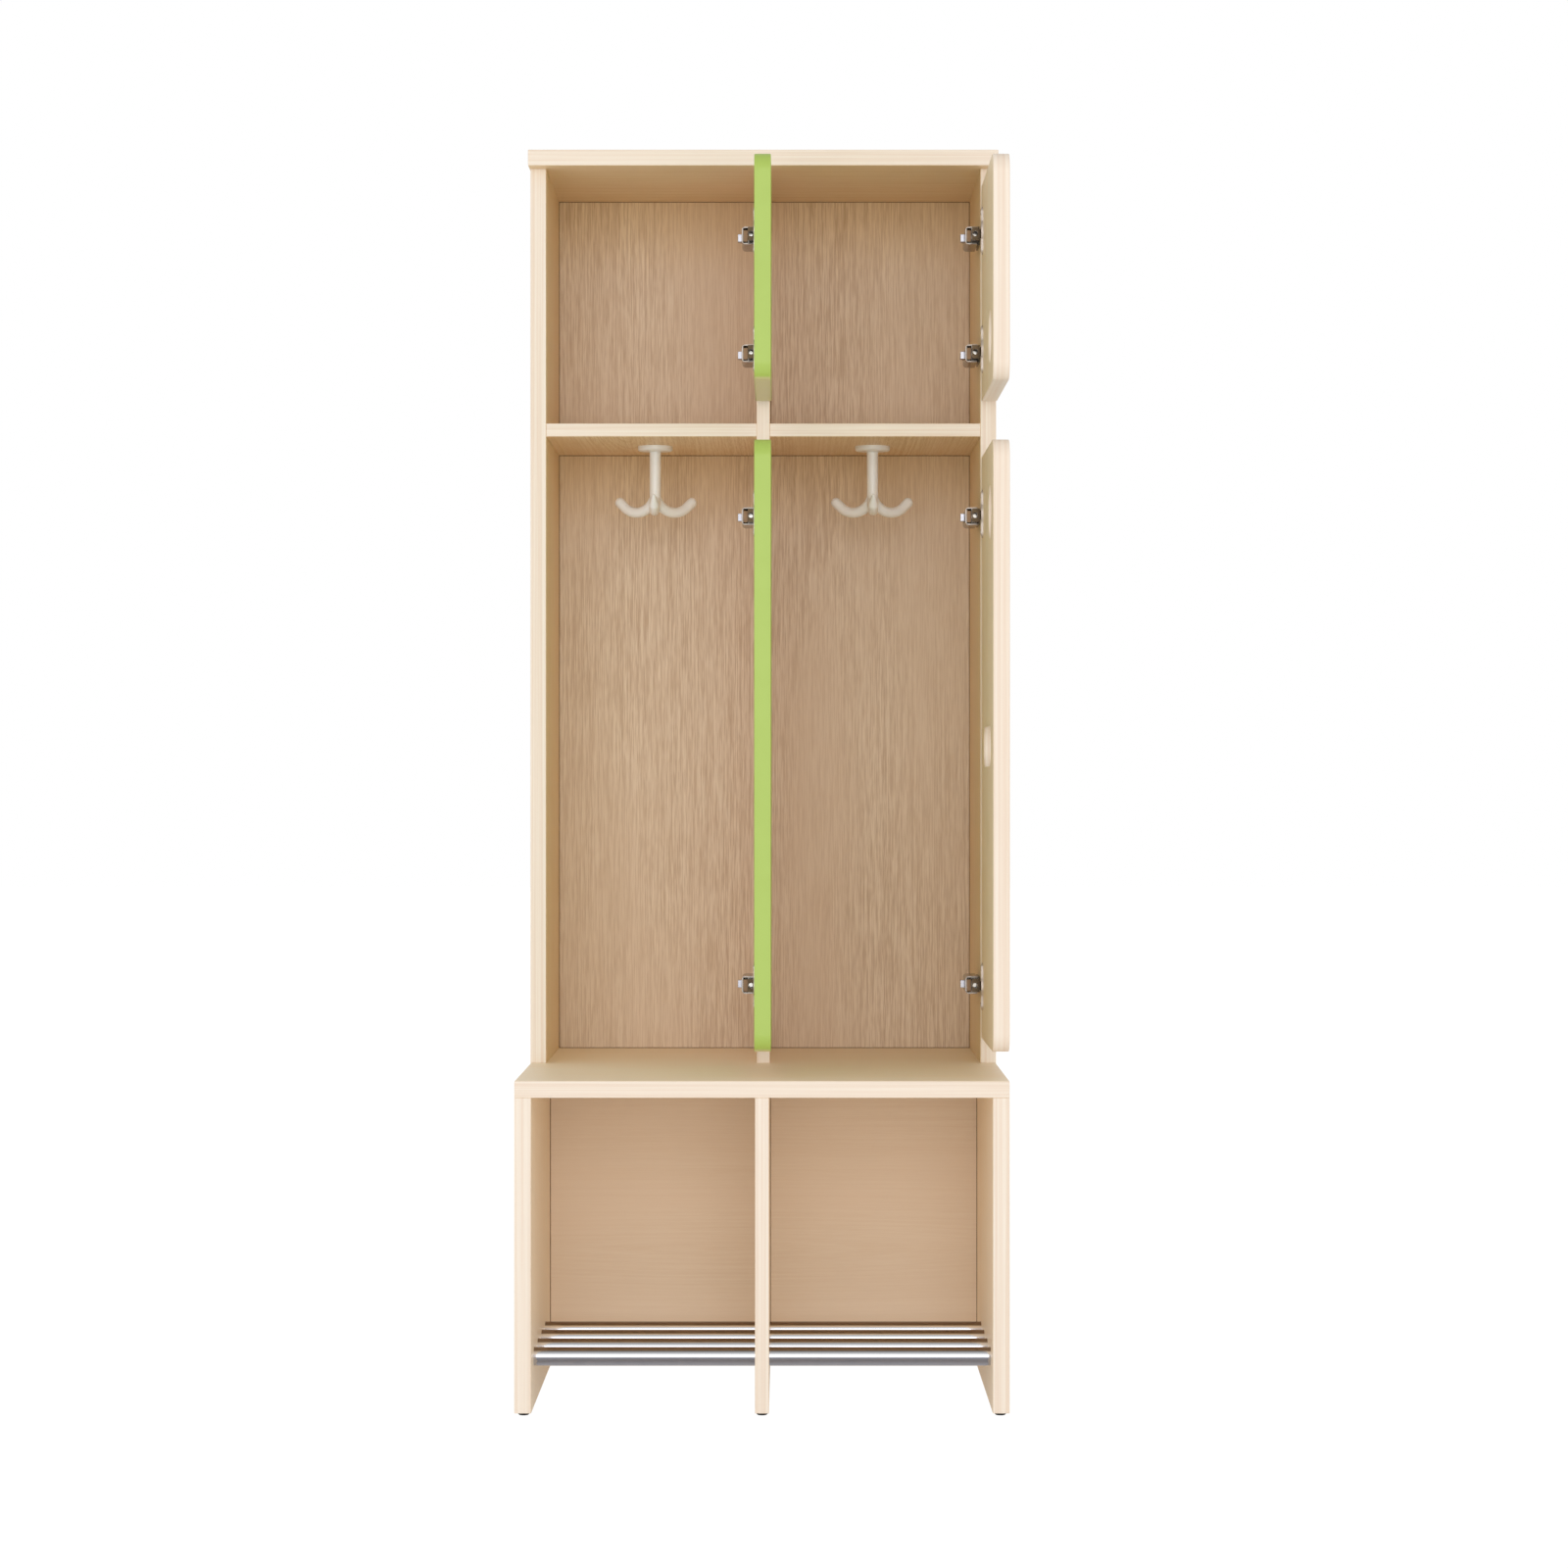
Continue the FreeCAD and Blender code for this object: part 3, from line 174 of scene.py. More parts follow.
class Graph:
    """The node graph of one material or of the surroundings."""

    def __init__(self, owner: Owner) -> None:
        """Start with an empty graph on a material or a world."""
        self.owner = owner
        owner.use_nodes = True
        self.tree = owner.node_tree
        self.tree.nodes.clear()

    def node(
        self,
        kind: str,
        settings: Optional[Dict[str, object]] = None,
        inputs: Optional[Dict[Union[int, str], object]] = None,
        output: Union[int, str, None] = 0,
    ) -> Optional[Signal]:
        """Add any node.

        Args:
            kind: the node's type.
            settings: its settings, which are set first.
            inputs: values or signals of its sockets.
            output: the socket that is handed back, or None for a node with no outputs.

        Returns:
            The signal of that output.
        """
        made = self.tree.nodes.new(kind)
        for name, value in (settings or {}).items():
            setattr(made, name, value)
        for name, value in (inputs or {}).items():
            socket = made.inputs[name]
            if isinstance(value, Signal):
                self.tree.links.new(value.socket, socket)
            elif isinstance(value, tuple) and len(value) == 3 and socket.type == "RGBA":
                socket.default_value = (*value, 1)
            else:
                socket.default_value = value
        return None if output is None else Signal(self, made.outputs[output])

    def blend(self, share: Number, first: object, second: object, kind: str = "MIX") -> Signal:
        """Mix two colours by a share of the second, or blend them another way.

        Args:
            share: share of the second colour.
            first: first colour.
            second: second colour.
            kind: the Mix node's way of blending.

        Returns:
            The mixed colour.
        """
        settings = {"data_type": "RGBA", "blend_type": kind}
        return self.node("ShaderNodeMix", settings, {0: share, 6: first, 7: second}, 2)

    def place(self) -> Tuple[Signal, Signal, Signal]:
        """The place on the piece, in metres, as its three parts."""
        spot = self.node("ShaderNodeTexCoord", output="Object")
        parts = [self.node("ShaderNodeSeparateXYZ", {}, {0: spot}, number) for number in range(3)]
        return parts[0], parts[1], parts[2]

    def facing(self) -> Tuple[Signal, Signal, Signal]:
        """The direction that the surface faces, as its three parts."""
        way = self.node("ShaderNodeTexCoord", output="Normal")
        parts = [self.node("ShaderNodeSeparateXYZ", {}, {0: way}, number) for number in range(3)]
        return parts[0], parts[1], parts[2]

    def ray(self, kind: Ray) -> Signal:
        """Whether the light path is of a kind, as 0 or 1."""
        return self.node("ShaderNodeLightPath", output=kind.value)

    def noise(self, x: Number, y: Number, z: Number, detail: float = 2, rough: float = 0.5) -> Signal:
        """Soft noise at a place whose parts are already scaled.

        Args:
            x: first part.
            y: second part.
            z: third part.
            detail: number of finer layers.
            rough: strength of the finer layers.

        Returns:
            A share from 0 to 1, 0.5 on average.
        """
        spot = self.node("ShaderNodeCombineXYZ", {}, {0: x, 1: y, 2: z})
        return self.node(
            "ShaderNodeTexNoise",
            {"noise_dimensions": "3D"},
            {"Vector": spot, "Scale": 1.0, "Detail": float(detail), "Roughness": rough},
        )

    def bump(self, height: Signal, strength: float, distance: float) -> Signal:
        """A surface normal from a height."""
        return self.node("ShaderNodeBump", {}, {"Strength": strength, "Distance": distance, "Height": height})

    def finish(self, inputs: Dict[str, object]) -> bpy.types.Material:
        """Close the graph with a Principled surface and return the material."""
        surface = self.node("ShaderNodeBsdfPrincipled", {}, inputs)
        self.node("ShaderNodeOutputMaterial", {}, {"Surface": surface}, None)
        return self.owner


# Finishes


@dataclass(frozen=True)
class Cut:
    """How a board is cut from the decor.

    Attributes:
        thickness: the axis through the board.
        grain: the axis that the wood's lines follow.
        fold: where the two mirrored leaves of the veneer meet, across the board.
        heart: how far from there the arched figure stands.
        seed: a number that sets this board apart.
        front: place, through the board, of the face in which its shadow gaps are cut, if it has any; the floors
            of the gaps get painted shade.
        painted_shade_under: heights under which that face gets a warmer, darker tint as painted shade.
        outside: side of the board, along its thickness, on which the paler outer face lies, if there is one.
    """

    thickness: Axis
    grain: Axis
    fold: float
    heart: float
    seed: float
    front: Optional[float] = None
    painted_shade_under: Tuple[float, ...] = ()
    outside: int = 0


@dataclass(frozen=True)
class Streak:
    """One layer of fine lines along the grain.

    Attributes:
        across: how fast it changes across the grain, to a metre.
        along: how fast it changes along the grain, to a metre.
        share: its share of the fine lines.
        offset: a number that sets it apart from the other layers.
    """

    across: float
    along: float
    share: float
    offset: float


STREAKS = (Streak(400, 3.4, 0.2, 11), Streak(720, 18, 0.5, 7), Streak(1000, 60, 0.3, 9))


@dataclass(frozen=True)
class WoodDecor:
    """Printed wood decor on board, with banded edges.

    Attributes:
        pale: light wood between the growth lines.
        deep: wood of the growth lines.
        blush: warm tint that drifts over the board.
        contrast: strength of the lines.
        band_pale: light stripes of the edge band.
        band_deep: darker stripes of the edge band.
        roughness: mean roughness.
        ring_rate: growth lines to a metre.
        ring_share: share of the growth lines in the figure; fibres and pores make up the rest.
        taper: how much the growth lines' distance from the pith grows along the board.
        sway: how far the lines wander across the board, in metres.
    """

    pale: Colour
    deep: Colour
    blush: Colour
    contrast: float
    band_pale: Colour
    band_deep: Colour
    roughness: float = 0.46
    ring_rate: float = 280.0
    ring_share: float = 0.45
    taper: float = 0.045
    sway: float = 0.02

    def material(self, name: str, cut: Cut) -> bpy.types.Material:
        """Make the decor for one board.

        Args:
            name: the material's name.
            cut: how the board is cut from the decor.

        Returns:
            The material.
        """
        graph = Graph(bpy.data.materials.new(name))
        place = graph.place()
        third = next(axis for axis in Axis if axis not in (cut.thickness, cut.grain))
        across, along, through = place[third.value], place[cut.grain.value], place[cut.thickness.value]
        facing = graph.facing()[cut.thickness.value]
        lines = self.lines(graph, across, along, cut)
        share = ((lines - 0.5) * self.contrast + 0.5).step(0.0, 1.0)
        tint = graph.noise(across * 9, along * 1.6, cut.seed + 3, 2, 0.5).step(0.36, 0.66) * 0.6
        face = graph.blend(tint, graph.blend(share, self.pale, self.deep), self.blush)
        if cut.outside:
            outer = graph.blend(tint, graph.blend(share, SEAT.pale, SEAT.deep), SEAT.blush)
            face = graph.blend((facing * cut.outside).step(0.5, 0.8), face, outer)
        stripes = graph.noise(through * 330 + cut.seed, across * 2.2, along * 1.4, 2, 0.55)
        hairs = graph.noise(through * 1100, across * 12, along * 9 + cut.seed, 1, 0.5)
        band_share = stripes.step(0.32, 0.68) * 0.75 + hairs.step(0.3, 0.7) * 0.25
        band = graph.blend(band_share, self.band_pale, self.band_deep)
        edge = 1 - abs(facing).step(0.55, 0.8)
        colour = graph.blend(edge, face, band)
        # Painted shade: the front face of a back sheet gets a warmer, darker tint just under each board above
        # it.
        for height in cut.painted_shade_under:
            warm = along.step(height - PAINTED_SHADE_REACH, height) * (1 - along.step(height, height + MM))
            colour = graph.blend(warm * (facing * -1).step(0.5, 0.8), colour, PAINTED_TOP_SHADE, "MULTIPLY")
        # Painted shade: the floor of each shadow gap is coloured brown.
        if cut.front is not None:
            depth = through - cut.front
            gap_shade_share = depth.step(*GAP_TOP) * (1 - depth.step(*GAP_FLOOR))
            colour = graph.blend(gap_shade_share, colour, PAINTED_GAP_SHADE)
        return graph.finish({
            "Base Color": colour,
            "Roughness": lines * 0.1 + (self.roughness - 0.05),
            "Normal": graph.bump(lines, 0.12, 0.0003),
            "Specular IOR Level": 0.35,
        })

    def lines(self, graph: Graph, across: Signal, along: Signal, cut: Cut) -> Signal:
        """Growth lines of a flat-sawn board, with its fibres and pores.

        Args:
            graph: the graph of the material.
            across: the place across the grain.
            along: the place along the grain.
            cut: how the board is cut from the decor.

        Returns:
            A share from 0 for light wood to 1 for dark wood.
        """
        wander = graph.noise(across * 5, along * 1.1 + cut.seed, cut.seed, 2, 0.45) - 0.5
        beside = abs(across - cut.fold) - cut.heart + wander * self.sway
        swell = graph.noise(across * 4 + cut.seed, along * 2.1, cut.seed + 5, 1, 0.4) - 0.5
        under = along * self.taper + swell * 0.05
        radius = (beside * beside + under * under) ** 0.5
        rings = graph.noise(radius * self.ring_rate, along * 0.8, cut.seed, 2, 0.6)
        layers = []
        for streak in STREAKS:
            layer = graph.noise(across * streak.across, along * streak.along, cut.seed + streak.offset, 1, 0.5)
            layers.append(layer.step(0.36, 0.64) * streak.share)
        fine = sum(layers[1:], layers[0])
        return rings.step(0.34, 0.66) * self.ring_share + fine * (1 - self.ring_share)


@dataclass(frozen=True)
class GreenLacquer:
    """Plain green foil on board, with a faint orange-peel texture.

    Attributes:
        body: colour of the faces and edges.
        shade: slightly darker mottling.
        under: painted shade and reflection on the faces of a door that look to the floor.
        roughness: mean roughness.
    """

    body: Colour
    shade: Colour
    under: Colour
    roughness: float = 0.38

    def material(self, name: str) -> bpy.types.Material:
        """Make the green finish."""
        graph = Graph(bpy.data.materials.new(name))
        x, y, z = graph.place()
        cloud = graph.noise(x * 24, y * 24, z * 24, 3, 0.55)
        peel = graph.noise(x * 900, y * 900, z * 900, 2, 0.5)
        colour = graph.blend(cloud.step(0.35, 0.7) * 0.5, self.body, self.shade)
        # Painted shade and reflection: faces that look to the floor get a paler, greyer green.
        painted_underside = (graph.facing()[2] * -1).step(0.8, 0.95) * 0.75
        return graph.finish({
            "Base Color": graph.blend(painted_underside, colour, self.under),
            "Roughness": peel * 0.12 + (self.roughness - 0.06),
            "Normal": graph.bump(peel, 0.08, 0.0002),
            "Specular IOR Level": 0.4,
        })


@dataclass(frozen=True)
class Metal:
    """Plated metal with faint wear in its gloss.

    Attributes:
        body: colour of the plating.
        dull: colour of the duller patches.
        roughness: mean roughness.
        wear: how much the roughness varies.
        painted_dark_reflection: painted dark reflection on what faces up, if there is one.
        painted_highlight: painted highlight on what leans up a little, if there is one.
    """

    body: Colour
    dull: Colour
    roughness: float
    wear: float
    painted_dark_reflection: Optional[Colour] = None
    painted_highlight: Optional[Colour] = None

    def material(self, name: str) -> bpy.types.Material:
        """Make the metal finish."""
        graph = Graph(bpy.data.materials.new(name))
        x, y, z = graph.place()
        patch = graph.noise(x * 60, y * 60, z * 60, 3, 0.6)
        scratch = graph.noise(x * 160, y * 1400, z * 1400, 2, 0.5)
        colour = graph.blend(patch.step(0.4, 0.75) * 0.6, self.body, self.dull)
        up = graph.facing()[2]
        # Painted highlight on faces that lean up a little, and a painted dark reflection of the wood above on
        # faces that look up.
        if self.painted_highlight:
            colour = graph.blend(up.step(0.2, 0.4), colour, self.painted_highlight)
        if self.painted_dark_reflection:
            colour = graph.blend(up.step(0.55, 0.74) * 0.88, colour, self.painted_dark_reflection)
        return graph.finish({
            "Base Color": colour,
            "Metallic": 1.0,
            "Roughness": patch * self.wear + (self.roughness - self.wear / 2),
            "Normal": graph.bump(scratch, 0.02, 0.0001),
        })


@dataclass(frozen=True)
class Plastic:
    """Moulded plastic with a fine grain.

    Attributes:
        body: colour of the plastic.
        shade: slightly different colour of the flow marks.
        roughness: mean roughness.
        grain: strength of the fine grain.
        gloss: weight of a clear gloss over it.
    """

    body: Colour
    shade: Colour
    roughness: float
    grain: float
    gloss: float = 0.0

    def material(self, name: str) -> bpy.types.Material:
        """Make the plastic finish."""
        graph = Graph(bpy.data.materials.new(name))
        x, y, z = graph.place()
        flow = graph.noise(x * 45, y * 45, z * 45, 3, 0.5)
        grain = graph.noise(x * 2600, y * 2600, z * 2600, 1, 0.5)
        colour = graph.blend(flow.step(0.35, 0.7), self.body, self.shade)
        return graph.finish({
            "Base Color": colour,
            "Roughness": grain * 0.1 + (self.roughness - 0.05),
            "Normal": graph.bump(grain, self.grain, 0.0001),
            "Coat Weight": self.gloss,
            "Coat Roughness": 0.3,
        })


@dataclass(frozen=True)
class PlainWood:
    """Turned beech of the dowels.

    Attributes:
        body: colour of the wood.
        fleck: colour of the short dark flecks.
    """

    body: Colour
    fleck: Colour

    def material(self, name: str) -> bpy.types.Material:
        """Make the beech finish."""
        graph = Graph(bpy.data.materials.new(name))
        x, y, z = graph.place()
        flecks = graph.noise(x * 700, y * 700, z * 120, 2, 0.6)
        colour = graph.blend(flecks.step(0.45, 0.7), self.body, self.fleck)
        return graph.finish({"Base Color": colour, "Roughness": 0.6})


# brown painted shade for the floors of the gaps in the back sheets
PAINTED_GAP_SHADE = tone(128, 88, 52)
# warmer, darker tint of painted shade under the boards above a back sheet
PAINTED_TOP_SHADE = tone(250, 243, 220)
EDGE_PALE = tone(250, 237, 221)
EDGE_DEEP = tone(239, 218, 197)
BOARD = WoodDecor(tone(250, 225, 187), tone(236, 207, 164), tone(245, 215, 177), 0.8, EDGE_PALE, EDGE_DEEP)
SHELF = WoodDecor(tone(252, 227, 190), tone(226, 194, 150), tone(245, 213, 176), 1.2, EDGE_PALE, EDGE_DEEP)
SEAT = WoodDecor(tone(255, 241, 215), tone(254, 228, 195), tone(255, 234, 205), 0.6, EDGE_PALE, EDGE_DEEP)
BACK = WoodDecor(
    tone(246, 227, 205), tone(208, 180, 153), tone(234, 210, 186), 0.8, EDGE_PALE, EDGE_DEEP,
    ring_rate=420, ring_share=0.1,
)
BENCH_BACK = WoodDecor(
    tone(244, 224, 199), tone(234, 209, 181), tone(240, 216, 190), 0.45, EDGE_PALE, EDGE_DEEP,
)
# the third colour is painted shade and reflection on the green doors' faces that look to the floor
GREEN = GreenLacquer(tone(176, 201, 96), tone(171, 196, 90), tone(226, 210, 168))
# chrome of the tubes, with a painted highlight and a painted dark reflection of the wood above
CHROME = Metal(
    tone(196, 198, 208), tone(188, 190, 199), 0.07, 0.03,
    painted_dark_reflection=tone(118, 97, 75), painted_highlight=tone(250, 250, 253),
)
# The hinge arms are one plated steel, in a darkened copy as painted shade on the channels and a lighter copy as
# painted highlight on the latches.
PAINTED_SHADE_PLATING = Metal(tone(140, 132, 125), tone(116, 109, 102), 0.2, 0.06)
LIT_LATCH_STEEL = Metal(tone(176, 176, 184), tone(162, 162, 172), 0.3, 0.06)
FLANGE = Metal(tone(218, 208, 202), tone(208, 198, 192), 0.48, 0.06)
# dark brown painted shade on the fronts of the hinge arms, which are the same plated steel
PAINTED_SHADE_STEEL = Metal(tone(84, 70, 54), tone(64, 55, 42), 0.24, 0.08)
# brown painted reflection of the wood on the links, which are the same plated steel
LINK_PAINTED_REFLECTION = Metal(tone(116, 93, 72), tone(104, 82, 62), 0.3, 0.08)
ZINC = Metal(tone(122, 114, 102), tone(104, 97, 86), 0.26, 0.08)
STEEL = Metal(tone(206, 204, 200), tone(186, 182, 176), 0.2, 0.06)
HOOK_PLASTIC = Plastic(tone(255, 255, 255), tone(252, 252, 252), 0.34, 0.04, 0.5)
GLIDE_PLASTIC = Plastic(tone(16, 16, 16), tone(22, 21, 20), 0.5, 0.08)
BEECH = PlainWood(tone(214, 184, 142), tone(184, 148, 106))


# Modelling


class Workbench:
    """Moves in edit mode that the fittings share."""

    @staticmethod
    def clear() -> None:
        """Leave edit mode and let go of everything."""
        if bpy.context.object and bpy.context.object.mode != "OBJECT":
            bpy.ops.object.mode_set(mode="OBJECT")
        bpy.ops.object.select_all(action="DESELECT")

    @staticmethod
    def hold(piece: bpy.types.Object) -> None:
        """Select one piece alone and make it active."""
        Workbench.clear()
        piece.select_set(True)
        bpy.context.view_layer.objects.active = piece

    @staticmethod
    @contextmanager
    def editing(piece: bpy.types.Object) -> Iterator[bmesh.types.BMesh]:
        """Open a piece in edit mode with nothing selected."""
        Workbench.hold(piece)
        bpy.ops.object.mode_set(mode="EDIT")
        bpy.ops.mesh.select_all(action="DESELECT")
        yield bmesh.from_edit_mesh(piece.data)
        bpy.ops.object.mode_set(mode="OBJECT")

    @staticmethod
    def pick(piece: bpy.types.Object, kind: str, wanted: Callable[[Vector], bool]) -> int:
        """Select faces, edges or vertices by the place of their middle.

        Args:
            piece: the piece in edit mode.
            kind: "FACE", "EDGE" or "VERT".
            wanted: says of a middle point whether it is picked.

        Returns:
            The number of picked elements.
        """
        bpy.ops.mesh.select_mode(type=kind)
        bpy.ops.mesh.select_all(action="DESELECT")
        mesh = bmesh.from_edit_mesh(piece.data)
        count = 0
        elements = {"FACE": mesh.faces, "EDGE": mesh.edges, "VERT": mesh.verts}[kind]
        for element in elements:
            if kind == "FACE":
                middle = element.calc_center_median()
            elif kind == "EDGE":
                middle = (element.verts[0].co + element.verts[1].co) / 2
            else:
                middle = element.co
            if wanted(middle):
                element.select_set(True)
                count += 1
        mesh.select_flush_mode()
        bmesh.update_edit_mesh(piece.data)
        return count

    @staticmethod
    def settle(piece: bpy.types.Object, angle: float = 35) -> None:
        """Put the place into the mesh and smooth the shading up to an angle in degrees."""
        Workbench.hold(piece)
        bpy.ops.object.transform_apply(location=True, rotation=True, scale=True)
        bpy.ops.object.shade_smooth_by_angle(angle=math.radians(angle))

    @staticmethod
    def modify(piece: bpy.types.Object, kind: str, **settings: object) -> None:
        """Add a modifier with its settings and apply it."""
        Workbench.hold(piece)
        modifier = piece.modifiers.new(kind.title(), kind)
        for name, value in settings.items():
            setattr(modifier, name, value)
        bpy.ops.object.modifier_apply(modifier=modifier.name)

    @staticmethod
    def round_off(piece: bpy.types.Object, width: float, segments: int) -> None:
        """Ease the edges of a piece that is made of flat faces, and smooth their shading."""
        Workbench.modify(piece, "BEVEL", width=width, segments=segments, limit_method="ANGLE",
                         angle_limit=math.radians(40), use_clamp_overlap=True)
        Workbench.settle(piece, 38)
        Workbench.modify(piece, "WEIGHTED_NORMAL", keep_sharp=True, weight=100)

    @staticmethod
    def solid_copy(node: str, name: str) -> bpy.types.Object:
        """Copy a CAD node with merged vertices and whole flat faces.

        Args:
            node: the CAD node.
            name: name of the copy.

        Returns:
            The copy.
        """
        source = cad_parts[node]
        piece = bpy.data.objects.new(name, source.data.copy())
        bpy.context.scene.collection.objects.link(piece)
        with Workbench.editing(piece):
            bpy.ops.mesh.select_all(action="SELECT")
            bpy.ops.mesh.remove_doubles(threshold=WELD)
            bpy.ops.mesh.dissolve_limited(angle_limit=math.radians(1))
        return piece

    @staticmethod
    def carve(piece: bpy.types.Object, operation: str, low: Vector, high: Vector) -> None:
        """Keep or take away what lies in a box.

        Args:
            piece: the piece that is carved.
            operation: "INTERSECT" to keep the inside, "DIFFERENCE" to take it away.
            low: lowest corner of the box.
            high: highest corner of the box.
        """
        Workbench.clear()
        bpy.ops.mesh.primitive_cube_add(size=1, location=(low + high) / 2, scale=high - low)
        box = bpy.context.object
        Workbench.modify(piece, "BOOLEAN", operation=operation, object=box, solver="EXACT")
        bpy.data.objects.remove(box)

    @staticmethod
    def twin(piece: bpy.types.Object, name: str, shift: Vector) -> bpy.types.Object:
        """Copy a piece with its own mesh, moved by a shift."""
        copy = piece.copy()
        copy.data = piece.data.copy()
        copy.name = name
        copy.data.transform(Matrix.Translation(shift))
        bpy.context.scene.collection.objects.link(copy)
        return copy

    @staticmethod
    def melt(pieces: Sequence[bpy.types.Object], name: str) -> bpy.types.Object:
        """Join pieces into the first one."""
        Workbench.clear()
        for piece in pieces:
            piece.select_set(True)
        bpy.context.view_layer.objects.active = pieces[0]
        bpy.ops.object.join()
        joined = bpy.context.object
        joined.name = name
        return joined

    @staticmethod
    def outward(piece: bpy.types.Object) -> None:
        """Merge doubles and turn every face outwards."""
        with Workbench.editing(piece):
            bpy.ops.mesh.select_all(action="SELECT")
            bpy.ops.mesh.remove_doubles(threshold=TOUCH)
            bpy.ops.mesh.normals_make_consistent(inside=False)


def dress(piece: bpy.types.Object, material: bpy.types.Material) -> None:
    """Give a piece one material on all its slots."""
    if not piece.data.materials:
        piece.data.materials.append(material)
    for number in range(len(piece.data.materials)):
        piece.data.materials[number] = material


def seat(piece: bpy.types.Object, body: str, node: str, slot: str) -> None:
    """Ride a new piece on a body in place of a node, which is hidden."""
    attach(piece, body)
    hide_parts(node)
    LOG.info("%s stands for %s on %s", piece.name, node, body)


@dataclass
class Boards:
    """The carcass boards and the doors, copied from the CAD with eased edges.

    Attributes:
        layout: for each board its body, its material slot, its decor and its cut.
        green: for each green door its body.
        gaps: for each back, the boards that it meets in a fine gap, darkened by painted shade: node, axis
            across the gap, and
        the side of that node on which the gap lies.
        ease: width of the eased edges.
        gap_width: width of the gaps.
        gap_depth: depth of the gaps.
    """

    layout: Dict[str, Tuple[str, str, WoodDecor, Cut]]
    green: Dict[str, str]
    gaps: Dict[str, Sequence[Tuple[str, Axis, int]]]
    ease: float = 0.5 * MM
    gap_width: float = 0.8 * MM
    gap_depth: float = 0.8 * MM

    def build(self) -> None:
        """Give every board its own cut of the decor, and the left doors the green."""
        for node, (body, slot, decor, cut) in self.layout.items():
            self.board(node, body, slot, decor.material(f"decor_{node}", cut))
        lacquer = GREEN.material("green_foil")
        for node, body in self.green.items():
            self.board(node, body, "green_door", lacquer)

    def board(self, node: str, body: str, slot: str, material: bpy.types.Material) -> None:
        """Copy a board, round its edges a little and dress it.

        Args:
            node: the CAD node.
            body: the body that carries it.
            slot: material slot of the record, which is not used.
            material: its finish.
        """
        piece = Workbench.solid_copy(node, f"{node}_eased")
        for neighbour, axis, side in self.gaps.get(node, ()):
            low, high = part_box(node)
            low, high = Vector(low), Vector(high)
            near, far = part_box(neighbour)
            face = far[axis.value] if side > 0 else near[axis.value]
            high.y = low.y + self.gap_depth
            low -= Vector((MM, MM, MM))
            high += Vector((MM, 0, MM))
            low[axis.value], high[axis.value] = sorted((face, face + side * self.gap_width))
            Workbench.carve(piece, "DIFFERENCE", low, high)
        Workbench.round_off(piece, self.ease, 3)
        dress(piece, material)
        seat(piece, body, node, slot)


@dataclass
class ShoeTubes:
    """Chrome tubes of the shoe rack.

    Attributes:
        count: number of tubes.
        wall: thickness of the tube.
        sides: faces round the tube.
    """

    count: int = 4
    wall: float = 1.2 * MM
    sides: int = 96

    def build(self) -> None:
        """Draw each tube from an open cylinder that gets a wall."""
        chrome = CHROME.material("chrome")
        for number in range(1, self.count + 1):
            node = f"shoe_tube_{number}"
            low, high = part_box(node)
            middle = (low + high) / 2
            Workbench.clear()
            bpy.ops.mesh.primitive_cylinder_add(
                vertices=self.sides,
                radius=(high.z - low.z) / 2,
                depth=high.x - low.x,
                end_fill_type="NOTHING",
                location=middle,
                rotation=(0, math.pi / 2, 0),
            )
            tube = bpy.context.object
            tube.name = f"tube_{number}"
            bpy.ops.object.transform_apply(location=True, rotation=True, scale=True)
            Workbench.modify(tube, "SOLIDIFY", thickness=self.wall, offset=-1)
            Workbench.outward(tube)
            Workbench.settle(tube)
            dress(tube, chrome)
            seat(tube, CARCASS, node, "chrome_tube")


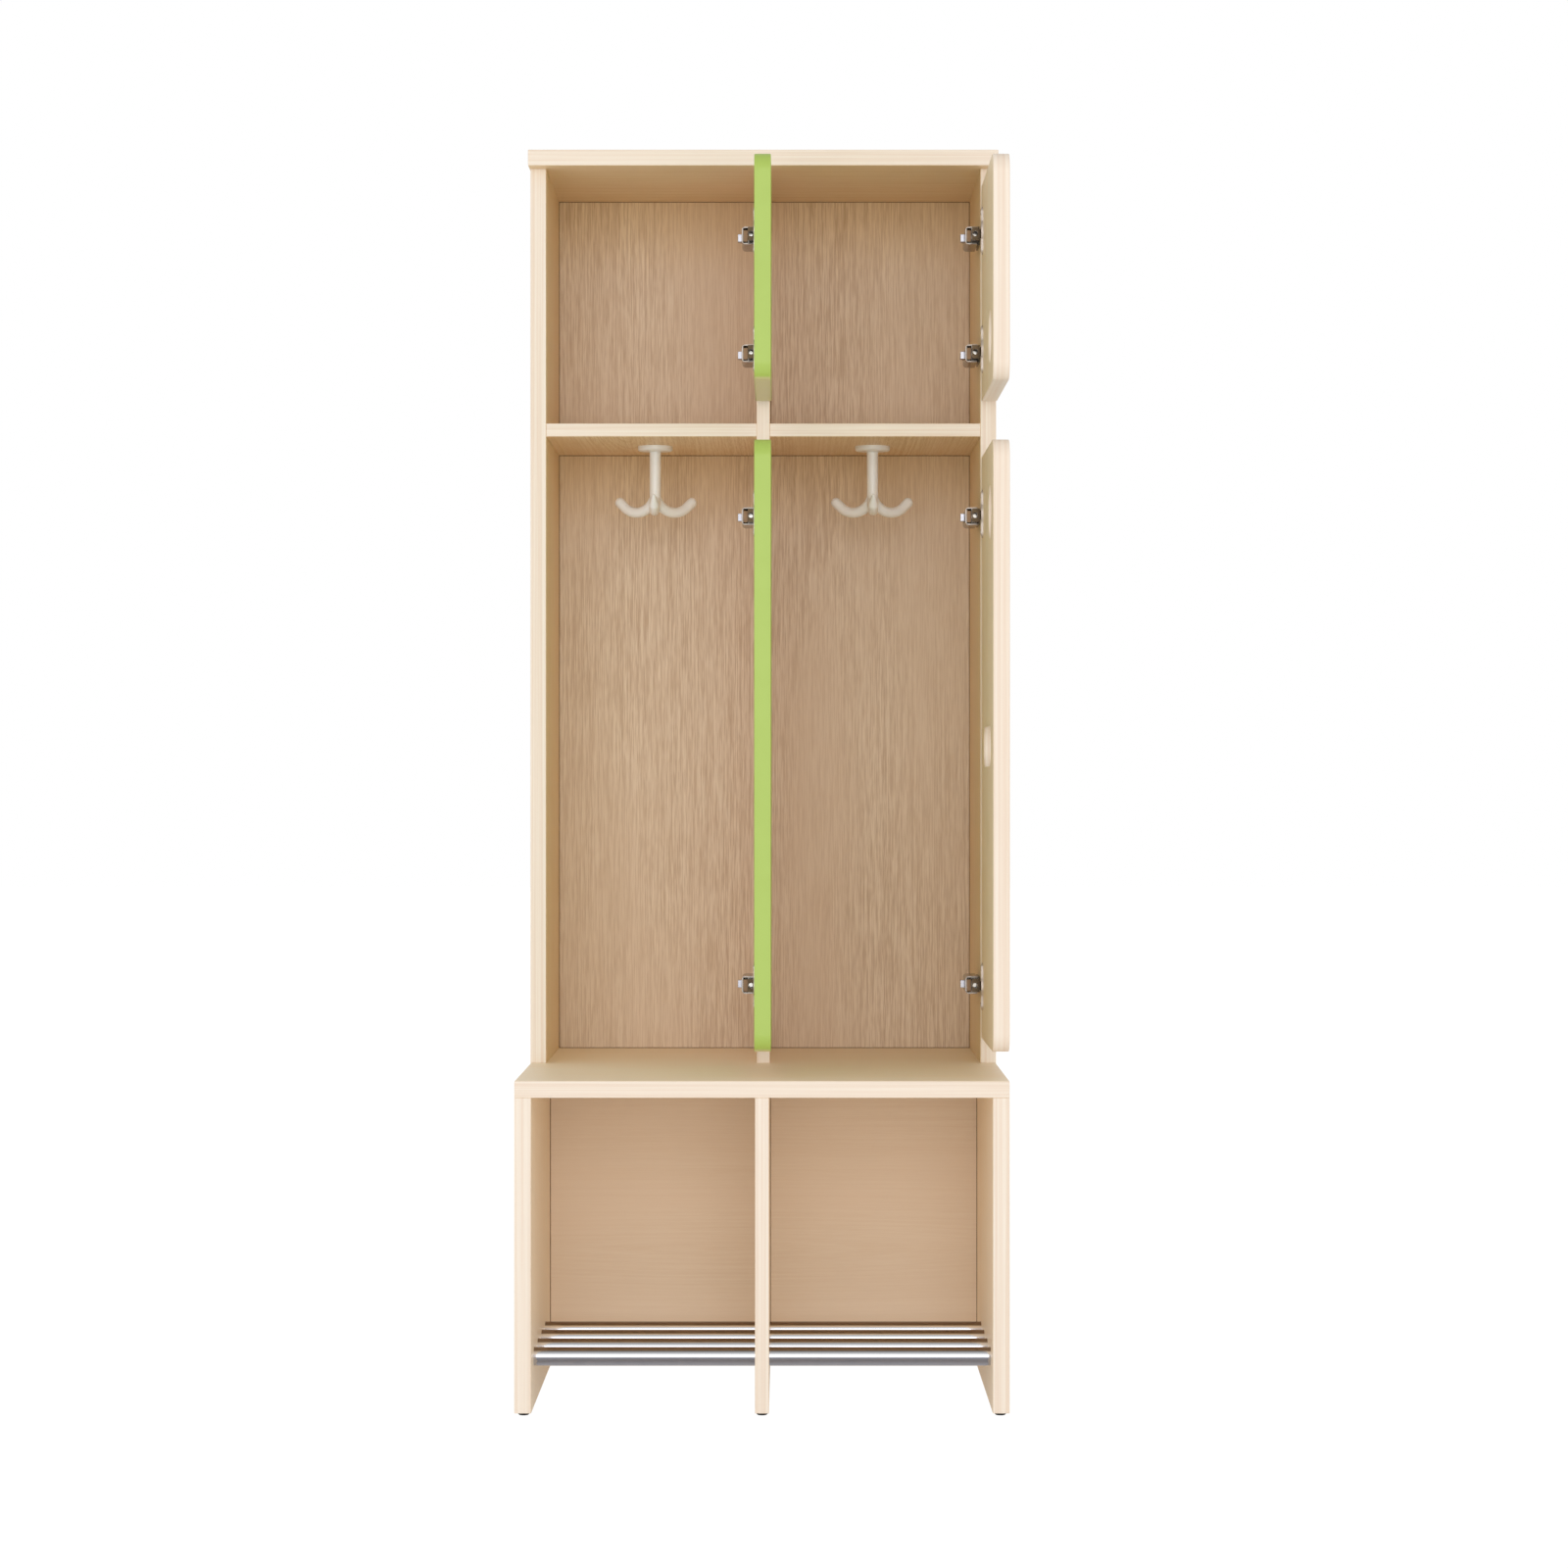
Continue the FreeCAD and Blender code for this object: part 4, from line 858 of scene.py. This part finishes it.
@dataclass
class FloorGlides:
    """Black plastic glides under the bench.

    Attributes:
        places: where the glides stand, across the unit and along its depth.
        radius: widest radius.
        foot_radius: radius of the face on the floor.
        height: height that shows under the board.
        taper: height of the sloping rim.
        peg_radius: radius of the peg in the board.
        peg_length: length of the peg.
        hollow_rim: width of the flat rim round the hollow in the foot.
        hollow_depth: depth of that hollow.
    """

    places: Tuple[Tuple[float, float], ...]
    radius: float = 6.3 * MM
    foot_radius: float = 5.0 * MM
    height: float = 4.5 * MM
    taper: float = 1.5 * MM
    peg_radius: float = 2.5 * MM
    peg_length: float = 12 * MM
    hollow_rim: float = 1.6 * MM
    hollow_depth: float = 0.7 * MM

    def build(self) -> None:
        """Shape one glide from a cylinder, then copy it under every upright."""
        Workbench.clear()
        bpy.ops.mesh.primitive_cylinder_add(
            vertices=48, radius=self.radius, depth=self.height, location=(0, 0, self.height / 2)
        )
        glide = bpy.context.object
        bpy.ops.object.transform_apply(location=True, rotation=False, scale=False)
        with Workbench.editing(glide):
            Workbench.pick(glide, "FACE", lambda middle: middle.z < TOUCH and middle.length < MM)
            share = self.foot_radius / self.radius
            bpy.ops.mesh.inset(thickness=self.radius - self.foot_radius)
            rim = self.radius * (1 + share) / 2
            Workbench.pick(glide, "VERT", lambda spot: spot.z < MM and spot.length > rim)
            bpy.ops.transform.translate(value=(0, 0, self.taper))
            Workbench.pick(glide, "FACE", lambda middle: middle.z < TOUCH and middle.length < MM)
            bpy.ops.mesh.inset(thickness=self.hollow_rim)
            bpy.ops.transform.translate(value=(0, 0, self.hollow_depth))
            Workbench.pick(glide, "FACE", lambda middle: middle.z > self.height - TOUCH)
            bpy.ops.mesh.inset(thickness=self.radius - self.peg_radius)
            bpy.ops.mesh.extrude_region_move(TRANSFORM_OT_translate={"value": (0, 0, self.peg_length)})
        Workbench.modify(glide, "BEVEL", width=0.25 * MM, segments=2, limit_method="ANGLE")
        Workbench.outward(glide)
        Workbench.settle(glide)
        dress(glide, GLIDE_PLASTIC.material("glide_plastic"))
        for number, (x, y) in enumerate(self.places, start=1):
            copy = Workbench.twin(glide, f"glide_{number}", Vector((x, y, 0)))
            seat(copy, CARCASS, "floor_glides", "black_plastic")
        bpy.data.objects.remove(glide)


@dataclass
class CoatHook:
    """A three-pronged ceiling hook of moulded plastic.

    Attributes:
        node: the CAD node that it stands for.
        disc_radius: radius of the ceiling disc.
        disc_height: height of the disc.
        disc_round: how round its lower edge is.
        collar: width of the raised collar round the stem.
        collar_drop: height of that collar.
        stem_radius: radius of the stem.
        stem_drop: where the round end of the stem has its centre.
        prong_radius: radius of a prong.
        bend_radius: radius of a prong's bend, at its middle line.
        low_reach: how far from the stem the prong is lowest.
        low_drop: how far under the shelf its middle line is lowest.
        start_angle: angle of the bend towards the stem, from straight down.
        tip_angle: angle of the bend towards the tip.
        tip_length: straight length before the ball tip.
        tip_rings: rings of the ball tip.
        depth_place: where the stem stands, along the depth of the unit.
    """

    node: str
    disc_radius: float = 20.5 * MM
    disc_height: float = 5.6 * MM
    disc_round: float = 2.4 * MM
    collar: float = 1.6 * MM
    collar_drop: float = 1.4 * MM
    stem_radius: float = 6.7 * MM
    stem_drop: float = 68 * MM
    prong_radius: float = 6.1 * MM
    bend_radius: float = 26 * MM
    low_reach: float = 25 * MM
    low_drop: float = 76.5 * MM
    start_angle: float = math.radians(62)
    tip_angle: float = math.radians(42)
    tip_length: float = 8.6 * MM
    tip_rings: int = 6
    depth_place: float = 130 * MM

    def prong(self, turn: float) -> bpy.types.Object:
        """Spin a circle along the bend, pull it straight and round its tip.

        Args:
            turn: direction of the prong about the stem, in radians.

        Returns:
            The prong.
        """
        centre = Vector((self.low_reach, 0, self.bend_radius - self.low_drop))
        first = Vector((-math.sin(self.start_angle), 0, -math.cos(self.start_angle)))
        start = centre + self.bend_radius * first
        Workbench.clear()
        bpy.ops.mesh.primitive_circle_add(
            vertices=28,
            radius=self.prong_radius,
            location=start,
            rotation=(0, math.pi / 2 + self.start_angle, 0),
        )
        prong = bpy.context.object
        bpy.ops.object.transform_apply(location=True, rotation=True, scale=True)
        with Workbench.editing(prong):
            bpy.ops.mesh.select_all(action="SELECT")
            bpy.ops.mesh.spin(
                steps=26, angle=self.start_angle + self.tip_angle, center=centre, axis=(0, 1, 0)
            )
            along = Vector((math.cos(self.tip_angle), 0, math.sin(self.tip_angle)))
            bpy.ops.mesh.extrude_region_move(TRANSFORM_OT_translate={"value": along * self.tip_length})
            for number in range(1, self.tip_rings):
                angle = number / self.tip_rings * math.pi / 2
                before = (number - 1) / self.tip_rings * math.pi / 2
                advance = self.prong_radius * (math.sin(angle) - math.sin(before))
                bpy.ops.mesh.extrude_region_move(TRANSFORM_OT_translate={"value": along * advance})
                bpy.ops.transform.resize(value=(math.cos(angle) / math.cos(before),) * 3)
            bpy.ops.mesh.edge_face_add()
            bpy.ops.mesh.select_mode(type="EDGE")
            bpy.ops.mesh.select_all(action="DESELECT")
            bpy.ops.mesh.select_non_manifold()
            bpy.ops.mesh.edge_face_add()
            bpy.ops.mesh.select_all(action="SELECT")
            bpy.ops.mesh.normals_make_consistent(inside=False)
        prong.data.transform(Matrix.Rotation(turn, 4, "Z"))
        return prong

    def build(self) -> None:
        """Melt stem and prongs into one moulding and add the disc."""
        low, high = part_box(self.node)
        middle = (low + high) / 2
        Workbench.clear()
        bpy.ops.mesh.primitive_cylinder_add(
            vertices=48, radius=self.stem_radius, depth=self.stem_drop, location=(0, 0, -self.stem_drop / 2)
        )
        stem = bpy.context.object
        bpy.ops.mesh.primitive_uv_sphere_add(
            segments=48, ring_count=24, radius=self.stem_radius, location=(0, 0, -self.stem_drop)
        )
        end = bpy.context.object
        prongs = [self.prong(math.radians(120 * number - 90)) for number in range(3)]
        moulding = Workbench.melt([stem, end, *prongs], f"{self.node}_moulding")
        Workbench.hold(moulding)
        bpy.ops.object.transform_apply(location=True, rotation=True, scale=True)
        Workbench.modify(moulding, "REMESH", mode="VOXEL", voxel_size=0.75 * MM)
        Workbench.modify(moulding, "SMOOTH", factor=0.5, iterations=8)
        bpy.ops.mesh.primitive_cylinder_add(
            vertices=72, radius=self.disc_radius, depth=self.disc_height, location=(0, 0, -self.disc_height / 2)
        )
        disc = bpy.context.object
        bpy.ops.object.transform_apply(location=True, rotation=False, scale=False)
        with Workbench.editing(disc):
            under = TOUCH - self.disc_height
            Workbench.pick(disc, "EDGE", lambda spot: spot.z < under)
            bpy.ops.mesh.bevel(offset=self.disc_round, segments=5, affect="EDGES")
            Workbench.pick(disc, "FACE", lambda spot: spot.z < under and spot.length < 8 * MM)
            bpy.ops.mesh.inset(thickness=self.disc_radius - self.disc_round - self.stem_radius - self.collar)
            bpy.ops.mesh.inset(thickness=self.collar)
            bpy.ops.transform.translate(value=(0, 0, -self.collar_drop))
        hook = Workbench.melt([moulding, disc], self.node + "_hook")
        hook.data.transform(Matrix.Translation((middle.x, self.depth_place, high.z)))
        Workbench.settle(hook, 50)
        dress(hook, HOOK_PLASTIC.material(f"{self.node}_plastic"))
        seat(hook, CARCASS, self.node, "white_plastic")


@dataclass
class HingeSet:
    """The fittings of one door's two hinges.

    Attributes:
        door: name of the door's node.
        leaf: name of the door's body.
        board: place, across the unit, of the upright's face that the arms are fixed to.
        rows: heights of the two hinges.
        arm_height: how far an arm stands off the board.
        wall: thickness of the arm's sheet.
        channel_front: where the bright channel starts, along the depth.
        face_edge: how far from the board the open mouth of the channel ends.
        mouth: half the height of that mouth.
        rim_rise: how far the rim of a cup's flange stands out.
        rim_depth: width of that rim.
        link_height: height of the link in the mouth.
        link_drop: how far its middle lies under the hinge's.
        link_place: how far behind the channel's front it lies.
    """

    door: str
    leaf: str
    board: float
    rows: Tuple[float, float]
    arm_height: float = 17 * MM
    wall: float = 1.5 * MM
    channel_front: float = 6 * MM
    face_edge: float = 10 * MM
    mouth: float = 8.5 * MM
    rim_rise: float = 1.1 * MM
    rim_depth: float = 6 * MM
    link_height: float = 13.4 * MM
    link_drop: float = 0.4 * MM
    link_place: float = 1.1 * MM

    def ease(
        self,
        piece: bpy.types.Object,
        width: float,
        seat_on: Tuple[str, str, str],
        material: bpy.types.Material,
    ) -> None:
        """Ease a piece's edges, dress it and let it ride.

        Args:
            piece: the piece.
            width: width of the eased edge.
            seat_on: its body, the node it stands for and its material slot.
            material: its finish.
        """
        Workbench.round_off(piece, width, 2)
        dress(piece, material)
        seat(piece, *seat_on)

    def copy(self, part: str, ending: str) -> bpy.types.Object:
        """Copy the node of a hinge part."""
        return Workbench.solid_copy(f"{self.door}_hinge_{part}", f"{self.door}_{part}_{ending}")

    def link(self, row: float) -> bpy.types.Object:
        """The outer link that shows in the open end of an arm, with two round lower corners.

        Args:
            row: height of the hinge.

        Returns:
            The link.
        """
        low = self.board - self.arm_height + self.wall + 0.1 * MM
        high = self.board - self.face_edge - 0.2 * MM
        size = Vector((high - low, self.wall * 0.8, self.link_height))
        spot = Vector(((low + high) / 2, self.channel_front + self.link_place, row - self.link_drop))
        Workbench.clear()
        bpy.ops.mesh.primitive_cube_add(size=1, scale=size, location=spot)
        link = bpy.context.object
        link.name = f"{self.door}_link_{round(row / MM)}"
        bpy.ops.object.transform_apply(location=True, rotation=False, scale=True)
        with Workbench.editing(link):
            Workbench.pick(link, "EDGE", lambda mid: abs(mid.y - spot.y) < TOUCH and mid.z < spot.z)
            bpy.ops.mesh.bevel(offset=1.7 * MM, segments=4, affect="EDGES")
            Workbench.pick(link, "EDGE", lambda mid: mid.z > spot.z + size.z / 2 - TOUCH)
            bpy.ops.mesh.bevel(offset=0.5 * MM, segments=2, affect="EDGES")
        return link

    def arms(self, finishes: Dict[str, bpy.types.Material]) -> None:
        """Part the arms into their front and channel in painted shade, their latches in painted highlight and
        their links in a painted reflection of the wood.
        """
        node = f"{self.door}_hinge_arms"
        place = (CARCASS, node, "hinge_steel")
        split = self.channel_front - 0.05 * MM
        low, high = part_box(node)
        margin = Vector((60 * MM, 60 * MM, 60 * MM))
        floor, roof = low - margin, high + margin
        outer = self.board - self.arm_height - 0.02 * MM
        front, channel, latch = (self.copy("arms", ending) for ending in ("front", "channel", "latch"))
        inner = self.board - self.face_edge
        Workbench.carve(latch, "INTERSECT", floor, Vector((outer, roof.y, roof.z)))
        Workbench.carve(front, "INTERSECT", floor, Vector((roof.x, split, roof.z)))
        Workbench.carve(front, "DIFFERENCE", floor, Vector((inner, high.y, roof.z)))
        Workbench.carve(channel, "INTERSECT", Vector((outer, split, floor.z)), roof)
        mouth_back = self.channel_front + self.wall + 0.1 * MM
        for row in self.rows:
            mouth_low = Vector((self.board - self.arm_height + self.wall, split - MM, row - self.mouth))
            Workbench.carve(channel, "DIFFERENCE", mouth_low, Vector((inner, mouth_back, row + self.mouth)))
            self.ease(self.link(row), 0.2 * MM, place, finishes["link"])
        self.ease(front, 0.3 * MM, place, finishes["painted_shade"])
        self.ease(channel, 0.5 * MM, place, finishes["painted_shade_plating"])
        self.ease(latch, 0.4 * MM, place, finishes["latch"])

    def cups(self) -> bpy.types.Object:
        """Copy the cups and raise a rim along the free edge of their flanges."""
        node = f"{self.door}_hinge_cups"
        low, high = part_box(node)
        cups = self.copy("cups", "eased")
        rim = Workbench.twin(cups, "rim", Vector((-self.rim_rise, 0, 0)))
        margin = Vector((2 * self.rim_rise, MM, MM))
        far = Vector((low.x + 0.09 * MM, low.y + self.rim_depth, high.z + MM))
        Workbench.carve(rim, "INTERSECT", low - margin, far)
        Workbench.modify(cups, "BOOLEAN", operation="UNION", object=rim, solver="EXACT")
        bpy.data.objects.remove(rim)
        return cups

    def build(self, finishes: Dict[str, bpy.types.Material]) -> None:
        """Make the cups, arms and plates of the door."""
        cups, plates = f"{self.door}_hinge_cups", f"{self.door}_hinge_plates"
        self.ease(self.cups(), 0.15 * MM, (self.leaf, cups, "hinge_steel"), finishes["flange"])
        self.arms(finishes)
        self.ease(self.copy("plates", "eased"), 0.3 * MM, (CARCASS, plates, "plate_steel"), finishes["zinc"])


@dataclass
class Studio:
    """Camera, soft light, pale floor and white surroundings.

    Attributes:
        eye: place of the camera.
        lens: focal length for a 36 mm sensor.
        world_front: light of the surroundings that comes from the front only.
        world_rest: light of the surroundings from everywhere.
        mirror_low: what metal shows of the surroundings near the horizon.
        mirror_high: what metal shows of them overhead.
    """

    eye: Vector
    lens: float = 85.0
    world_front: float = 0.12
    world_rest: float = 0.66
    mirror_low: float = 1.0
    mirror_high: float = 0.3

    def camera(self) -> None:
        """Look level along the depth of the unit, as the photograph does."""
        data = bpy.data.cameras.new("camera")
        data.lens = self.lens
        data.sensor_width = 36
        data.clip_end = 60
        camera = bpy.data.objects.new("camera", data)
        camera.location = self.eye
        camera.rotation_euler = (math.pi / 2, 0, 0)
        bpy.context.scene.collection.objects.link(camera)
        bpy.context.scene.camera = camera

    def lamp(self, name: str, place: Vector, target: Vector, size: float, power: float) -> None:
        """Hang one square soft lamp.

        Args:
            name: the lamp's name.
            place: its middle.
            target: the point that it faces.
            size: length of its side.
            power: its light in watts.
        """
        data = bpy.data.lights.new(name, "AREA")
        data.size = size
        data.energy = power
        lamp = bpy.data.objects.new(name, data)
        lamp.location = place
        lamp.rotation_euler = (target - place).to_track_quat("-Z", "Y").to_euler()
        bpy.context.scene.collection.objects.link(lamp)

    def world(self) -> None:
        """Surroundings that light softly, most from the front, and look white to the eye."""
        world = bpy.data.worlds.new("studio")
        bpy.context.scene.world = world
        graph = Graph(world)
        way = graph.node("ShaderNodeTexCoord", output="Generated")
        ahead = graph.node("ShaderNodeSeparateXYZ", {}, {0: way}, 1)
        upward = graph.node("ShaderNodeSeparateXYZ", {}, {0: way}, 2)
        front = (ahead * -1).step(-0.2, 1.0)
        light = front * self.world_front + self.world_rest
        mirrored = (1 - upward.step(0.3, 0.98)) * (self.mirror_low - self.mirror_high) + self.mirror_high
        kinds = {0: graph.ray(Ray.GLOSSY), 2: light, 3: mirrored}
        unseen = graph.node("ShaderNodeMix", {"data_type": "FLOAT"}, kinds)
        seen = graph.ray(Ray.CAMERA) + graph.ray(Ray.TRANSMISSION)
        strength = graph.node("ShaderNodeMix", {"data_type": "FLOAT"}, {0: seen, 2: unseen, 3: 1.0})
        background = graph.node("ShaderNodeBackground", {}, {"Color": (1.0, 1.0, 1.0), "Strength": strength})
        graph.node("ShaderNodeOutputWorld", {}, {"Surface": background}, None)

    def floor(self) -> None:
        """A wide pale floor that looks white and keeps a faint shadow."""
        Workbench.clear()
        bpy.ops.mesh.primitive_plane_add(size=40, location=(0, 0, 0))
        floor = bpy.context.object
        floor.name = "floor"
        graph = Graph(bpy.data.materials.new("pale_floor"))
        x, y, _ = graph.place()
        far = ((x * x + y * y) ** 0.5).step(0.8, 2.6)
        ahead = (y * -1).step(0.24, 0.8)
        below = y.step(-0.26, -0.18) * 0.3
        glossy = graph.ray(Ray.GLOSSY)
        white = graph.ray(Ray.CAMERA) * (far * 0.1 + 0.6) + (1 - glossy) * 0.3 + glossy * (ahead * 0.75 + below)
        shown = graph.blend(glossy, tone(240, 239, 236), tone(184, 181, 180))
        plain = graph.node("ShaderNodeBsdfDiffuse", {}, {"Color": shown})
        glow = graph.node("ShaderNodeEmission", {}, {"Color": (1.0, 1.0, 1.0), "Strength": 1.1})
        mixed = graph.node("ShaderNodeMixShader", {}, {0: white, 1: plain, 2: glow})
        graph.node("ShaderNodeOutputMaterial", {}, {"Surface": mixed}, None)
        dress(floor, graph.owner)

    def build(self) -> None:
        """Set the whole studio."""
        self.camera()
        self.world()
        self.floor()
        middle = Vector((0, 0, 0.75))
        self.lamp("key", Vector((-0.5, -5.3, 1.1)), middle, 3.4, 60)
        self.lamp("fill", Vector((1.4, -4.9, 0.9)), middle, 2.6, 23)


def main() -> None:
    """Build the unit's looks in order and report each piece."""
    logging.basicConfig(level=logging.INFO, format="%(name)s: %(message)s")
    bpy.context.scene.view_settings.view_transform = "Standard"
    Studio(Vector((0.02356, -4.208, 0.67765))).build()
    layout = {
        "top_board": (CARCASS, "top_decor", BOARD, Cut(Axis.UPRIGHT, Axis.ACROSS, -0.5, 0.68, 1.7, outside=1)),
        "cabinet_left_side": (
            CARCASS, "side_decor", BOARD, Cut(Axis.ACROSS, Axis.UPRIGHT, -0.5, 0.63, 2.9, outside=-1),
        ),
        "cabinet_right_side": (
            CARCASS, "side_decor", BOARD, Cut(Axis.ACROSS, Axis.UPRIGHT, -0.5, 0.66, 4.3, outside=1),
        ),
        "cabinet_divider": (CARCASS, "divider_decor", BOARD, Cut(Axis.ACROSS, Axis.UPRIGHT, -0.5, 0.6, 5.1)),
        "left_shelf": (CARCASS, "shelf_decor", SHELF, Cut(Axis.UPRIGHT, Axis.DEEP, -0.8, 0.64, 6.7)),
        "right_shelf": (CARCASS, "shelf_decor", SHELF, Cut(Axis.UPRIGHT, Axis.DEEP, -0.5, 0.62, 7.9)),
        "cabinet_back": (
            CARCASS, "back_decor", BACK,
            Cut(
                Axis.DEEP, Axis.UPRIGHT, -0.002, 0.094, 9.2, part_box("cabinet_back")[0].y,
                (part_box("top_board")[0].z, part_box("left_shelf")[0].z),
            ),
        ),
        "seat_board": (CARCASS, "seat_decor", SEAT, Cut(Axis.UPRIGHT, Axis.ACROSS, -0.8, 0.75, 10.4)),
        "bench_left_side": (CARCASS, "bench_decor", SEAT, Cut(Axis.ACROSS, Axis.UPRIGHT, -0.8, 0.8, 12.6)),
        "bench_right_side": (CARCASS, "bench_decor", SEAT, Cut(Axis.ACROSS, Axis.UPRIGHT, -0.8, 0.83, 13.5)),
        "bench_divider": (
            CARCASS, "bench_divider_decor", SEAT, Cut(Axis.ACROSS, Axis.UPRIGHT, -0.8, 0.7, 15.1),
        ),
        "bench_back": (
            CARCASS, "bench_back_decor", BENCH_BACK,
            Cut(Axis.DEEP, Axis.ACROSS, -0.5, 0.64, 16.8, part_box("bench_back")[0].y),
        ),
        "upper_right_door": (
            "upper_right_leaf", "decor_door", SEAT, Cut(Axis.ACROSS, Axis.UPRIGHT, -0.8, 0.68, 18.3),
        ),
        "lower_right_door": (
            "lower_right_leaf", "decor_door", SEAT, Cut(Axis.ACROSS, Axis.UPRIGHT, -0.8, 0.69, 19.6),
        ),
    }
    gaps = {
        "cabinet_back": (
            ("cabinet_left_side", Axis.ACROSS, 1), ("cabinet_divider", Axis.ACROSS, -1),
            ("cabinet_divider", Axis.ACROSS, 1), ("cabinet_right_side", Axis.ACROSS, -1),
            ("top_board", Axis.UPRIGHT, -1), ("left_shelf", Axis.UPRIGHT, 1),
            ("left_shelf", Axis.UPRIGHT, -1), ("seat_board", Axis.UPRIGHT, 1),
        ),
        "bench_back": (
            ("bench_left_side", Axis.ACROSS, 1), ("bench_divider", Axis.ACROSS, -1),
            ("bench_divider", Axis.ACROSS, 1), ("bench_right_side", Axis.ACROSS, -1),
        ),
    }
    green = {"upper_left_door": "upper_left_leaf", "lower_left_door": "lower_left_leaf"}
    Boards(layout, green, gaps).build()
    ShoeTubes().build()
    spread, ahead, behind, inside = 256 * MM, -230 * MM, 230 * MM, 55 * MM
    FloorGlides((
        (-spread, ahead), (-spread, behind), (0.0, ahead), (0.0, inside), (spread, ahead), (spread, behind),
    )).build()
    for node in ("left_hook", "right_hook"):
        CoatHook(node).build()
    finishes = {
        "painted_shade_plating": PAINTED_SHADE_PLATING.material("painted_shade_plating"),
        "latch": LIT_LATCH_STEEL.material("lit_latch_steel"),
        "flange": FLANGE.material("cup_flange"),
        "painted_shade": PAINTED_SHADE_STEEL.material("painted_shade_steel"),
        "link": LINK_PAINTED_REFLECTION.material("link_painted_reflection"),
        "zinc": ZINC.material("zinc"),
        "steel": STEEL.material("steel"),
    }
    rows = {"upper": (1.168, 1.302), "lower": (0.449, 0.9825)}
    for height, pair in rows.items():
        for side, board in (("left", -7.5 * MM), ("right", 247 * MM)):
            HingeSet(f"{height}_{side}_door", f"{height}_{side}_leaf", board, pair).build(finishes)
    for name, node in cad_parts.items():
        if name.endswith(("_screws", "_pins", "studs")):
            dress(node, finishes["steel"])
        elif name.endswith("dowels"):
            dress(node, BEECH.material(f"beech_{name}"))


if __name__ == "__main__":
    main()
